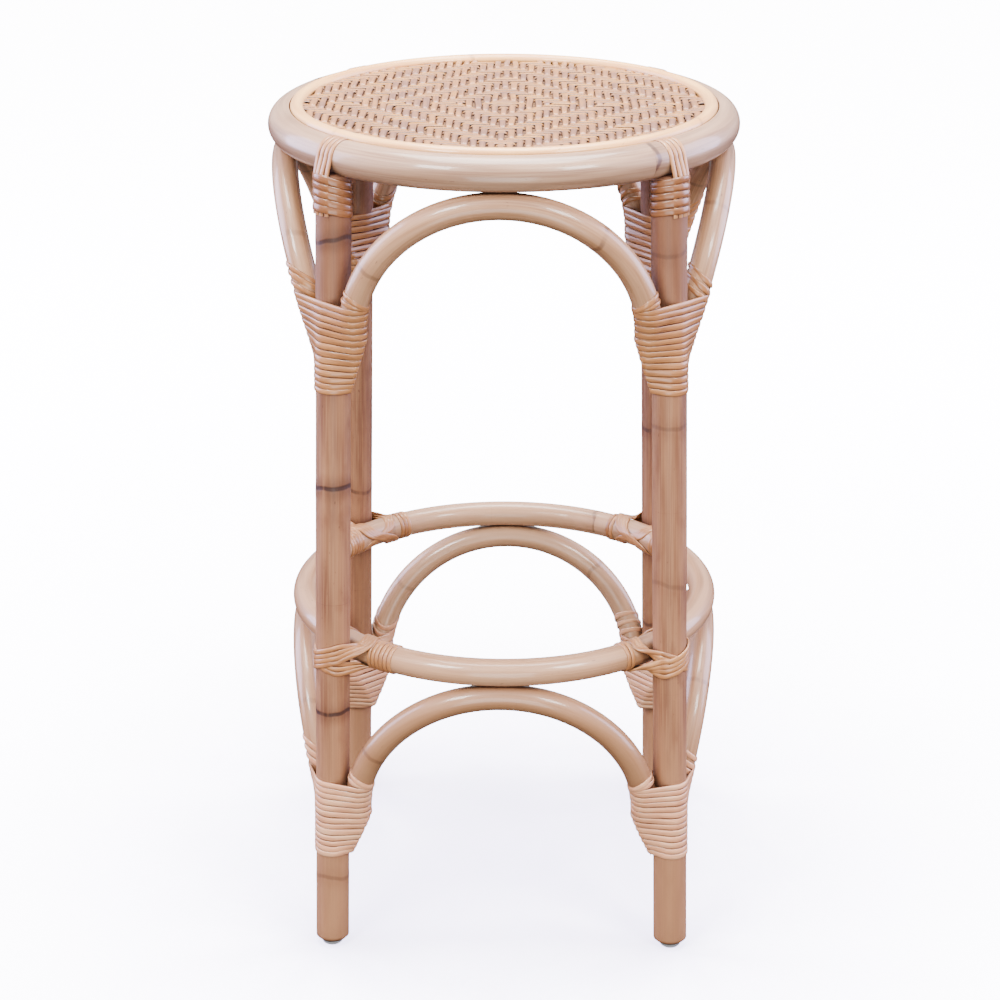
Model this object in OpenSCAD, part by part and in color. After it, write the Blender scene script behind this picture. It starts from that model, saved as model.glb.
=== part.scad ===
// Rattan bar stool: four splayed pole legs under a bent seat ring, a woven seat held by a bezel pole,
// a footrest ring lashed inside the legs, and two tiers of bent arches that brace the rings.
// The stool stands on z = 0 with its axis on Z, and its front faces -Y.

/* [Overall] */
// Height of the seat ring's top above the floor
height = 750; // [620:1:830]
// Outer diameter of the seat ring
seat_d = 409; // [340:1:490]

/* [Legs] */
// Diameter of a leg pole
leg_d = 30; // [25:0.5:36]
// Outward lean of a leg, in degrees
leg_splay = 1.9; // [0:0.1:3]
// How far a leg's axis lies outside the seat ring's centreline
leg_outset = 5; // [3:0.5:7]
// Chamfer round a leg's foot
leg_chamfer = 3; // [1:0.5:4]

/* [Seat] */
// Diameter of the seat ring's pole
seat_pole_d = 30; // [25:0.5:36]
// Diameter of the bezel pole
bezel_d = 11.5; // [9.5:0.5:14]
// How far the bezel's centreline lies inside the seat ring's centreline
bezel_inset = 10.25; // [9.5:0.25:11]
// How far the bezel stands above the seat ring's top
bezel_rise = 4; // [3:0.25:5]
// Height of the weave's face above the bezel's centreline
weave_rise = 1.5; // [0.5:0.25:2.5]
// Thickness of the woven mat
weave_t = 3; // [2:0.5:4]
// Thickness of the plywood panel under the mat
panel_t = 6; // [5:0.5:9]
// Diameter of a seat rail
rail_d = 18; // [14:0.5:22]
// Distance between the two seat rails' axes
rail_spacing = 120; // [90:1:150]

/* [Footrest] */
// Height of the footrest ring's centreline above the floor
footrest_z = 287; // [238:1:345]
// Diameter of the footrest ring's pole
footrest_pole_d = 24; // [20:0.5:29]
// Depth of the saddle that the ring beds into on a leg
saddle_depth = 1.5; // [1:0.25:3]

/* [Arches] */
// Diameter of an arch pole
arch_d = 23; // [19:0.5:28]
// Drop from a ring's centreline to the tips of the arches under it
arch_drop = 192; // [180:1:205]
// How deep an upper arch's end is let into the leg beside it
upper_bite = 8; // [4:0.5:9]
// How deep a lower arch's end is let into the leg beside it
lower_bite = 3; // [2:0.5:6]
// How far a lower arch's tip lies inside the line through the leg axes
lower_tip_inset = 6; // [3:0.5:7]
// Drop from an arch's spring to the head of the whittled face on its end
scarf_drop = 4; // [3:0.5:8]

/* [Bindings] */
// Thickness of a layer of wound cane
cane_t = 2.2; // [1.5:0.1:3]
// Height of an arch binding above the arch tips
binding_rise = 74; // [60:1:85]
// Height of an arch binding below the arch tips
binding_fall = 8; // [4:1:12]
// Width of the cane strap over the seat ring
strap_w = 19; // [12:1:26]
// Height of the cane collar under the seat ring
collar_h = 32; // [26:1:38]
// Drop from the seat ring's underside to the collar's top
collar_drop = 1; // [0.5:0.5:6]
// Height of the cane band round a leg at the footrest
lash_h = 37; // [30:1:46]
// Length of the wound stretch on the footrest ring beside a leg
lash_run = 30; // [20:1:36]

/* [Feet] */
// Diameter of a glide
glide_d = 18; // [14:0.5:22]
// Height of a glide
glide_h = 5; // [4:0.5:8]
// Chamfer round a glide's foot
glide_chamfer = 1; // [0.5:0.25:1.5]

/* [Fasteners] */
// Diameter of a nail
nail_d = 2.5; // [1.5:0.5:3]
// Length of an arch nail at a leg
tip_nail_l = 22; // [18:1:26]
// Length of a crown nail
crown_nail_l = 34; // [28:1:38]
// Length of a rail nail
rail_nail_l = 45; // [38:1:50]
// Length of a panel nail
panel_nail_l = 16; // [12:1:18]
// Diameter of a bezel brad
brad_d = 1.5; // [1:0.25:2]
// Length of a bezel brad
brad_l = 20; // [14:1:22]
// Number of bezel brads
brad_count = 12; // [8:2:16]
// Shank diameter of a wood screw
screw_d = 4.5; // [4:0.5:6]
// Head diameter of a wood screw
screw_head_d = 9; // [8:0.5:10]
// Height of a wood screw's head
screw_head_h = 2.5; // [2:0.5:3]
// Length of a seat screw
seat_screw_l = 60; // [50:1:70]
// Length of a footrest screw
footrest_screw_l = 38; // [34:1:40]
// Head diameter of a glide nail
glide_nail_head_d = 8; // [6:0.5:10]
// Head height of a glide nail
glide_nail_head_h = 1.5; // [1:0.25:2]
// Length of a glide nail
glide_nail_l = 22; // [16:1:26]

/* [Clearances] */
// Gap round the bezel in its groove
bezel_gap = 0.1; // [0.05:0.05:0.5]
// Gap round the panel's and the mat's edge
panel_gap = 0.5; // [0.2:0.1:1.5]
// Depth of a screw or glide nail head below the surface round it
head_sink = 1; // [0.5:0.25:1.5]
// Clearance across a screw head in its counterbore
head_gap = 0.5; // [0.25:0.25:1]

/* [Hidden] */
$fn = 96;
HULL_FN = 32;
REACH = 1200;
SKIN = 1;

ring_r = seat_pole_d / 2;
ring_rad = seat_d / 2 - ring_r;
ring_z = height - bezel_rise - ring_r;
leg_r = leg_d / 2;
leg_top_rad = ring_rad + leg_outset;
leg_lip = 3;
leg_top_z = ring_z - ring_r + leg_lip;
foot_r = footrest_pole_d / 2;
footrest_rad = leg_rad(footrest_z) - leg_r - foot_r + saddle_depth;
arch_r = arch_d / 2;

bezel_r = bezel_d / 2;
bezel_rad = ring_rad - bezel_inset;
bezel_z = height - bezel_r;
weave_z = bezel_z + weave_rise - weave_t;
ring_wall_rad = ring_rad - sqrt(pow(ring_r, 2) - pow(weave_z - ring_z, 2));
weave_rad = min(bezel_rad - bezel_r, ring_wall_rad) - panel_gap;
panel_rad = bezel_rad - bezel_r - panel_gap;
panel_z = weave_z - panel_t;
rail_z = panel_z - rail_d / 2;
rail_reach = sqrt(pow(ring_rad, 2) - pow(rail_spacing / 2, 2));

tip_nail_rise = 32;
tip_nail_sink = 1.5;
seat_screw_z = ring_z + ring_r / 2;

// Distance of a leg's axis from the stool's axis at height z
function leg_rad(z) = leg_top_rad + (ring_z - z) * tan(leg_splay);
// Distance of that axis from the X and Y axes' planes
function leg_a(z) = leg_rad(z) / sqrt(2);

// An arch is [crown radius, crown height, half span, lean, tip height]: it is a half circle on two straight
// ends, in a plane that leans outward from the tips beside the legs to the crown under its ring.
function make_arch(crown_rad, crown_z, tip_z, bite, tip_inset) = [
    crown_rad,
    crown_z,
    leg_a(tip_z) - leg_r - arch_r + bite,
    atan((crown_rad - leg_a(tip_z) + tip_inset) / (crown_z - tip_z)),
    tip_z
];
UPPER = make_arch(ring_rad, ring_z - ring_r - arch_r, ring_z - arch_drop, upper_bite, 0);
LOWER = make_arch(footrest_rad, footrest_z - foot_r - arch_r, footrest_z - arch_drop,
    lower_bite, lower_tip_inset);
function crown_rad(arch) = arch[0];
function crown_z(arch) = arch[1];
function half_span(arch) = arch[2];
function lean(arch) = arch[3];
function tip_z(arch) = arch[4];
function spring_z(arch) = crown_z(arch) - half_span(arch) * cos(lean(arch));
// Distance of an arch's plane from the stool's axis at height z
function arch_rad(arch, z) = crown_rad(arch) - (crown_z(arch) - z) * tan(lean(arch));
// Half the distance between an arch's two sides at height z
function arch_x(arch, z) = z <= spring_z(arch) ? half_span(arch)
    : sqrt(pow(half_span(arch), 2) - pow((z - spring_z(arch)) / cos(lean(arch)), 2));

// Corner 0 is the front right one, and corner i is i quarter turns on. Side 0 is the front.
module at_corner(i) rotate(90 * i) children();
module at_side(i) rotate(90 * i) children();
// Turns +X to point outward through the front right leg
module outward() rotate(-45) children();

// ---- Pole volumes, which are drawn as pieces and cut out of what fits round them ----

module leg_pole(r) {
    outward() translate([leg_rad(0), 0, 0]) rotate([0, -leg_splay, 0])
        translate([0, 0, -glide_h]) cylinder(r = r, h = height);
}

module ring_pole(rad, z, r) {
    translate([0, 0, z]) rotate_extrude() translate([rad, 0]) circle(r);
}

module seat_ring_pole(r = ring_r) ring_pole(ring_rad, ring_z, r);
module footrest_pole(r = foot_r) ring_pole(footrest_rad, footrest_z, r);

module arch_pole(arch, r = arch_r) {
    run = (spring_z(arch) - tip_z(arch)) / cos(lean(arch));
    translate([0, -arch_rad(arch, spring_z(arch)), spring_z(arch)]) rotate([lean(arch), 0, 0]) {
        rotate([90, 0, 0]) rotate_extrude(angle = 180) translate([half_span(arch), 0]) circle(r);
        for (side = [-1, 1]) translate([side * half_span(arch), 0, -run]) cylinder(r = r, h = run);
    }
}

// ---- Fastener volumes ----

module nail(length) cylinder(d = nail_d, h = length);

// A screw along -Z with the top of its head at the origin; its counterbore stays open above it
module screw(length) {
    cylinder_down(screw_d, length);
    cylinder_down(screw_head_d, screw_head_h);
}
module screw_hole(length) {
    cylinder_down(screw_d, length);
    cylinder_down(screw_head_d + head_gap, screw_head_h);
    cylinder(d = screw_head_d + head_gap, h = ring_r);
}
module cylinder_down(d, h) translate([0, 0, -h]) cylinder(d = d, h = h);

// Down through the seat ring into the leg
module at_seat_screw() outward() translate([leg_top_rad, 0, seat_screw_z]) children();
// In through the leg to the footrest ring
module at_footrest_screw() {
    outward() translate([leg_rad(footrest_z) + leg_r - head_sink, 0, footrest_z]) rotate([0, 90, 0]) children();
}
// Sideways through an arch's end into the leg beside it
module tip_nails(arch) {
    z = tip_z(arch) + tip_nail_rise;
    for (side = [-1, 1]) translate([side * (scarf_x(arch, z) + tip_nail_sink), -arch_rad(arch, z), z])
        rotate([0, side * 90, 0]) nail(tip_nail_l);
}
// Up through an arch's crown into the ring over it
module crown_nail(arch) {
    translate([0, -crown_rad(arch), crown_z(arch) - arch_r + head_sink]) nail(crown_nail_l);
}
module rail_nail(side) {
    translate([side * rail_spacing / 2, 0, rail_z]) for (end = [0, 180])
        rotate(end) translate([0, -rail_reach - ring_r / 2, 0]) rotate([-90, 0, 0]) nail(rail_nail_l);
}
module panel_nail_row() {
    for (x = [-1, 1], y = [-1, 1])
        translate([x * rail_spacing / 2, y * rail_spacing, weave_z - panel_nail_l]) nail(panel_nail_l);
}
module brads() {
    for (i = [0 : brad_count - 1]) rotate((i + 0.5) * 360 / brad_count)
        translate([bezel_rad, 0, bezel_z + bezel_r - head_sink]) cylinder_down(brad_d, brad_l);
}
// Up through a glide into the foot of the leg
module glide_nail() {
    outward() translate([leg_rad(0), 0, head_sink]) {
        cylinder(d = glide_nail_head_d, h = glide_nail_head_h);
        nail(glide_nail_l);
    }
}

// ---- Legs ----

// A leg cut to length, before it is fitted to what it meets
module leg_blank() difference() {
    outward() translate([leg_rad(0), 0, 0]) rotate([0, -leg_splay, 0]) {
        translate([0, 0, glide_h + leg_chamfer]) cylinder(r = leg_r, h = height);
        translate([0, 0, glide_h - leg_chamfer])
            cylinder(r1 = leg_r - 2 * leg_chamfer, r2 = leg_r, h = 2 * leg_chamfer);
    }
    translate([-REACH / 2, -REACH / 2, leg_top_z]) cube(REACH);
    translate([-REACH / 2, -REACH / 2, glide_h - REACH]) cube(REACH);
}

module leg(i) color("#b08a66") at_corner(i) difference() {
    leg_blank();
    seat_ring_pole();
    footrest_pole();
    at_seat_screw() screw_hole(seat_screw_l);
    at_footrest_screw() screw_hole(footrest_screw_l);
    for (arch = [UPPER, LOWER], side = [0, 1]) at_side(side) tip_nails(arch);
    glide_nail();
}

module glide(i) color("#8f9193") at_corner(i) difference() {
    outward() translate([leg_rad(0), 0, 0]) {
        cylinder(d1 = glide_d - 2 * glide_chamfer, d2 = glide_d, h = glide_chamfer);
        translate([0, 0, glide_chamfer]) cylinder(d = glide_d, h = glide_h - glide_chamfer);
    }
    outward() translate([leg_rad(0), 0, -SKIN])
        cylinder(d = glide_nail_head_d, h = SKIN + head_sink + glide_nail_head_h);
    glide_nail();
}

// ---- Seat ----

module seat_ring() color("#d9c4b2") difference() {
    seat_ring_pole();
    ring_pole(bezel_rad, bezel_z, bezel_r + bezel_gap);
    for (i = [0 : 3]) {
        at_corner(i) at_seat_screw() screw_hole(seat_screw_l);
        at_side(i) crown_nail(UPPER);
    }
    for (side = [-1, 1]) rail_nail(side);
    brads();
}

module seat_bezel() color("#dfccb6") difference() {
    ring_pole(bezel_rad, bezel_z, bezel_r);
    brads();
}

module seat_weave() color("#d8b893") translate([0, 0, weave_z]) cylinder(r = weave_rad, h = weave_t);

module seat_panel() color("#c9ab83") difference() {
    translate([0, 0, panel_z]) cylinder(r = panel_rad, h = panel_t);
    panel_nail_row();
}

module seat_rail(side) color("#bd9873") difference() {
    translate([side * rail_spacing / 2, 0, rail_z]) rotate([90, 0, 0])
        cylinder(d = rail_d, h = 2 * rail_reach - ring_r, center = true);
    seat_ring_pole();
    rail_nail(side);
    panel_nail_row();
}

// ---- Footrest ----

module footrest_ring() color("#cbb198") difference() {
    footrest_pole();
    for (i = [0 : 3]) {
        at_corner(i) at_footrest_screw() screw_hole(footrest_screw_l);
        at_side(i) crown_nail(LOWER);
    }
}

// ---- Arches ----

// An arch's ends are whittled on their inner side, on a slant that meets the leg at the binding's foot
function scarf_head_x(arch) = half_span(arch) - arch_r;
function scarf_head_z(arch) = spring_z(arch) - scarf_drop;
function scarf_foot_z(arch) = tip_z(arch) - binding_fall;
function scarf_slope(arch) = (leg_a(scarf_foot_z(arch)) - leg_r - scarf_head_x(arch))
    / (scarf_head_z(arch) - scarf_foot_z(arch));
function scarf_x(arch, z) = scarf_head_x(arch) + (scarf_head_z(arch) - z) * scarf_slope(arch);

module scarf_cut(arch) {
    translate([scarf_head_x(arch), 0, scarf_head_z(arch)]) rotate([0, -atan(scarf_slope(arch)), 0])
        translate([-arch_d, -REACH / 2, -REACH]) cube([arch_d, REACH, REACH + scarf_drop]);
}

module whittled_arch(arch) difference() {
    arch_pole(arch);
    for (side = [0, 1]) mirror([side, 0, 0]) scarf_cut(arch);
}

// The wedge between the planes through the front legs and the stool's axis
module front_quarter() {
    linear_extrude(height) polygon([[0, 0], [-REACH, -REACH], [REACH, -REACH]]);
}

module arch_piece(arch, i) color("#c8ab8d") at_side(i) intersection() {
    difference() {
        whittled_arch(arch);
        for (corner = [0, 3]) at_corner(corner) leg_pole(leg_r);
        tip_nails(arch);
        crown_nail(arch);
    }
    front_quarter();
}

// ---- Bindings ----

// Wound cane over a leg's head: a strap over the seat ring, and the collar that holds it
module seat_binding(i) color("#cda377") at_corner(i) {
    strap_angle = strap_w / ring_rad * 180 / PI;
    collar_z = ring_z - ring_r - collar_drop - collar_h;
    drop_z = collar_z + collar_h / 2;
    difference() {
        union() {
            outward() rotate(-strap_angle / 2) translate([0, 0, ring_z]) rotate_extrude(angle = strap_angle)
                difference() {
                    translate([ring_rad, 0]) circle(ring_r + cane_t);
                    translate([0, -REACH / 2]) square([bezel_rad + bezel_r + cane_t, REACH]);
                }
            intersection() {
                leg_pole(leg_r + cane_t);
                outward() translate([leg_top_rad, -strap_w / 2, drop_z])
                    cube([leg_d, strap_w, leg_top_z + cane_t - drop_z]);
            }
            intersection() {
                leg_pole(leg_r + cane_t);
                translate([-REACH / 2, -REACH / 2, collar_z]) cube([REACH, REACH, collar_h]);
            }
        }
        leg_blank();
        seat_ring_pole();
    }
}

// A thin slice of a binding round one pole
module slice(x, y, z, r) translate([x, y, z]) cylinder(r = r + cane_t, h = SKIN, $fn = HULL_FN);

// Wound cane that gathers two arch ends onto a leg and tapers down it
module arch_binding(arch, i) color("#c99c6c") at_corner(i) {
    top_z = tip_z(arch) + binding_rise;
    foot_z = tip_z(arch) - binding_fall;
    difference() {
        hull() {
            slice(leg_a(foot_z), -leg_a(foot_z), foot_z, leg_r);
            slice(leg_a(top_z), -leg_a(top_z), top_z - arch_r, leg_r);
            slice(arch_x(arch, top_z), -arch_rad(arch, top_z), top_z, arch_r);
            slice(arch_rad(arch, top_z), -arch_x(arch, top_z), top_z, arch_r);
        }
        leg_pole(leg_r);
        for (side = [0, 1]) at_side(side) whittled_arch(arch);
    }
}

// Wound cane that ties the footrest ring to a leg
module footrest_binding(i) color("#c99c6c") at_corner(i) {
    lash_angle = lash_run / footrest_rad * 180 / PI;
    leg_angle = (leg_r + cane_t) / footrest_rad * 180 / PI;
    difference() {
        union() {
            intersection() {
                leg_pole(leg_r + cane_t);
                translate([-REACH / 2, -REACH / 2, footrest_z - lash_h / 2]) cube([REACH, REACH, lash_h]);
            }
            outward() rotate(-leg_angle - lash_angle) translate([0, 0, footrest_z])
                rotate_extrude(angle = 2 * (leg_angle + lash_angle))
                    translate([footrest_rad, 0]) circle(foot_r + cane_t);
        }
        leg_pole(leg_r);
        footrest_pole();
    }
}

// ---- Fasteners ----

module seat_screws() color("silver") for (i = [0 : 3]) at_corner(i) at_seat_screw() screw(seat_screw_l);
module footrest_screws() {
    color("silver") for (i = [0 : 3]) at_corner(i) at_footrest_screw() screw(footrest_screw_l);
}
module arch_nails(arch) color("dimgray") for (i = [0 : 3]) at_side(i) {
    tip_nails(arch);
    crown_nail(arch);
}
module rail_nails() color("dimgray") for (side = [-1, 1]) rail_nail(side);
module panel_nails() color("dimgray") panel_nail_row();
module bezel_brads() color("dimgray") brads();
module glide_nails() color("silver") for (i = [0 : 3]) at_corner(i) glide_nail();

leg(0);  // leg_front_right
leg(1);  // leg_back_right
leg(2);  // leg_back_left
leg(3);  // leg_front_left
seat_ring();
seat_bezel();
seat_weave();
seat_panel();
seat_rail(-1);  // seat_rail_left
seat_rail(1);  // seat_rail_right
footrest_ring();
arch_piece(UPPER, 0);  // upper_arch_front
arch_piece(UPPER, 1);  // upper_arch_right
arch_piece(UPPER, 2);  // upper_arch_back
arch_piece(UPPER, 3);  // upper_arch_left
arch_piece(LOWER, 0);  // lower_arch_front
arch_piece(LOWER, 1);  // lower_arch_right
arch_piece(LOWER, 2);  // lower_arch_back
arch_piece(LOWER, 3);  // lower_arch_left
seat_binding(0);  // seat_binding_front_right
seat_binding(1);  // seat_binding_back_right
seat_binding(2);  // seat_binding_back_left
seat_binding(3);  // seat_binding_front_left
arch_binding(UPPER, 0);  // upper_binding_front_right
arch_binding(UPPER, 1);  // upper_binding_back_right
arch_binding(UPPER, 2);  // upper_binding_back_left
arch_binding(UPPER, 3);  // upper_binding_front_left
footrest_binding(0);  // footrest_binding_front_right
footrest_binding(1);  // footrest_binding_back_right
footrest_binding(2);  // footrest_binding_back_left
footrest_binding(3);  // footrest_binding_front_left
arch_binding(LOWER, 0);  // lower_binding_front_right
arch_binding(LOWER, 1);  // lower_binding_back_right
arch_binding(LOWER, 2);  // lower_binding_back_left
arch_binding(LOWER, 3);  // lower_binding_front_left
glide(0);  // glide_front_right
glide(1);  // glide_back_right
glide(2);  // glide_back_left
glide(3);  // glide_front_left
seat_screws();
footrest_screws();
arch_nails(UPPER);  // upper_arch_nails
arch_nails(LOWER);  // lower_arch_nails
rail_nails();
panel_nails();
bezel_brads();
glide_nails();
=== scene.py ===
"""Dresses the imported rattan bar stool: natural poles, wound cane bindings, a woven seat and a studio.

Everything is in metres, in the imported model's own frame: Z up from the floor, the stool's axis on Z and
its front towards -Y. A corner is numbered from the front right one, a side from the front one, and both
go on by quarter turns about Z.
"""

import logging
import math
from dataclasses import dataclass, field
from enum import Enum
from typing import Callable, Sequence

import bpy
import numpy as np
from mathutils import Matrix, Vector
from mathutils.geometry import convex_hull_2d


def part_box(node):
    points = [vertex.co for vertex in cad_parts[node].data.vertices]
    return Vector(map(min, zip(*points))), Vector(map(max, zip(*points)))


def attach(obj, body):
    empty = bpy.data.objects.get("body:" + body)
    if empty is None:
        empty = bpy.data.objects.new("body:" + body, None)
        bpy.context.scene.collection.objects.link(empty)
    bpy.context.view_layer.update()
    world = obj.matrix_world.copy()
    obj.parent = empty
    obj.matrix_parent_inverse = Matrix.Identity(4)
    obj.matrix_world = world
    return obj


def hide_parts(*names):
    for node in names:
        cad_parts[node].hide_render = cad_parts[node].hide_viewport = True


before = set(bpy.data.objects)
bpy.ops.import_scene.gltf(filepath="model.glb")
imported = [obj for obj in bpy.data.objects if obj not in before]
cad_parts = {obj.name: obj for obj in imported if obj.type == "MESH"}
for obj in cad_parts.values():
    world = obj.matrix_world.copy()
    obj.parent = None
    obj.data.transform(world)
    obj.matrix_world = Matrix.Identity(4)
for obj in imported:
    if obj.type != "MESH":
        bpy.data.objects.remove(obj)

LOG = logging.getLogger("bar_stool")
BODY = "root"
MM = 0.001
QUARTER = math.pi / 2
CORNERS = ("front_right", "back_right", "back_left", "front_left")
SIDES = ("front", "right", "back", "left")

# How a grown pole varies: its swelling and its ovalness as shares of the radius, a scar's swelling and how
# far that reaches along the pole, and the length of a slow bend
SWELLING = 0.010
OVALNESS = 0.006
SCAR_SWELLING = 0.016
SCAR_REACH = 6 * MM
SLOW_BEND = 90 * MM

Array = np.ndarray
Scars = Sequence[tuple[float, float]]
Slants = Sequence[tuple[float, float]]


class Slot(Enum):
    """Material slots of the record that the new pieces stand for; they are passed along, but nothing reads
    them.
    """

    LEG = "leg_rattan"
    SEAT_RING = "seat_ring_rattan"
    BEZEL = "bezel_rattan"
    WEAVE = "woven_cane"
    RAIL = "rail_rattan"
    FOOTREST = "footrest_rattan"
    ARCH = "arch_rattan"
    BINDING = "binding_cane"


class Layer(Enum):
    """Mesh attributes that the finishes read."""

    FIBRE = "fibre"
    SCAR = "scar"
    TONE = "tone"


# ---- Numbers ----


def unit(rows: Array) -> Array:
    """Returns each row at length 1."""
    return rows / np.maximum(np.linalg.norm(rows, axis=-1, keepdims=True), 1e-12)


def turned(points: Array, quarter_turns: int) -> Array:
    """Turns points about Z.

    Args:
        points: Rows of x, y, z.
        quarter_turns: How many quarter turns, anticlockwise from above.

    Returns:
        The turned rows.
    """
    angle = quarter_turns * QUARTER
    cos, sin = round(math.cos(angle)), round(math.sin(angle))
    return points @ np.array([[cos, sin, 0], [-sin, cos, 0], [0, 0, 1]], float)


def smooth_noise(count: int, waves: int, rng: np.random.Generator, joined: bool = False) -> Array:
    """Draws a slow random curve.

    Args:
        count: Number of samples.
        waves: How many random knots the curve passes through.
        rng: Source of the knots.
        joined: Whether the curve meets its own start.

    Returns:
        Samples between about -1 and 1.
    """
    knots = rng.uniform(-1, 1, waves + 1)
    if joined:
        knots[-1] = knots[0]
    place = np.linspace(0, waves, count)
    low = np.minimum(place.astype(int), waves - 1)
    part = place - low
    ease = part * part * (3 - 2 * part)
    return knots[low] * (1 - ease) + knots[low + 1] * ease


def eased(part: Array) -> Array:
    """Returns a smooth step from 0 to 1 as part goes from 0 to 1."""
    part = np.clip(part, 0, 1)
    return part * part * (3 - 2 * part)


def through(points: Array, count: int, joined: bool) -> Array:
    """Runs a smooth curve through points.

    Args:
        points: Rows that the curve passes through.
        count: Number of samples on the curve, evenly spaced along it.
        joined: Whether the curve closes on itself.

    Returns:
        The samples, one row each.
    """
    ring = np.vstack([points[-1:], points, points[:2]]) if joined else np.vstack(
        [2 * points[0] - points[1], points, 2 * points[-1] - points[-2]])
    spans = len(points) if joined else len(points) - 1
    steps = np.linspace(0, 1, 12, endpoint=False)[:, None]
    curve = []
    for k in range(spans):
        a, b, c, d = ring[k:k + 4]
        curve.append(0.5 * (2 * b + (c - a) * steps + (2 * a - 5 * b + 4 * c - d) * steps**2
                            + (3 * b - a - 3 * c + d) * steps**3))
    rows = np.vstack(curve + [points[:1] if joined else points[-1:]])
    run = np.concatenate([[0], np.cumsum(np.linalg.norm(np.diff(rows, axis=0), axis=1))])
    places = np.linspace(0, run[-1], count, endpoint=not joined)
    return np.stack([np.interp(places, run, rows[:, k]) for k in range(3)], 1)


# ---- Meshes ----


@dataclass
class Sweep:
    """One section carried along a path.

    Attributes:
        path: Centreline points, one row each.
        up: The direction that the section's second axis follows, at each point or for all.
        section: Section points as (across, up) pairs, anticlockwise.
        closed: Whether the path joins up with its own start.
        swell: Factors on the section, across and up, at each point.
        tone: Shade of the strand, from 0 dark to 1 pale, at each point or for all.
        scars: Growth scars, as pairs of distance along the path and strength.
    """

    path: Array
    up: Array
    section: Array
    closed: bool = False
    swell: Array | None = None
    tone: float | Array = 0.5
    scars: Scars = ()

    def run(self) -> Array:
        """Returns the distance along the path at each point, and at the closing point of a closed one."""
        rows = np.vstack([self.path, self.path[:1]]) if self.closed else self.path
        return np.concatenate([[0], np.cumsum(np.linalg.norm(np.diff(rows, axis=0), axis=1))])

    def points(self) -> Array:
        """Returns the section's points at each place of the path, as an array of rings."""
        ahead = np.roll(self.path, -1, 0) - np.roll(self.path, 1, 0)
        if not self.closed:
            ahead[0] = self.path[1] - self.path[0]
            ahead[-1] = self.path[-1] - self.path[-2]
        along = unit(ahead)
        up = np.broadcast_to(self.up, along.shape)
        up = unit(up - along * np.sum(up * along, axis=1, keepdims=True))
        across = np.cross(along, up)
        swell = np.ones((len(self.path), 2)) if self.swell is None else self.swell
        return (self.path[:, None]
                + (swell[:, 0:1] * self.section[:, 0])[..., None] * across[:, None]
                + (swell[:, 1:2] * self.section[:, 1])[..., None] * up[:, None])

    def scar_at(self, run: Array) -> Array:
        """Returns the signed distance to the nearest growth scar and that scar's strength, at each place."""
        if not self.scars:
            return np.stack([np.ones_like(run), np.zeros_like(run)], -1)
        places = np.array([place for place, _ in self.scars])
        strengths = np.array([strength for _, strength in self.scars])
        gaps = run[..., None] - places
        nearest = np.argmin(np.abs(gaps), axis=-1)
        return np.stack([np.take_along_axis(gaps, nearest[..., None], -1)[..., 0], strengths[nearest]], -1)


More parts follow.
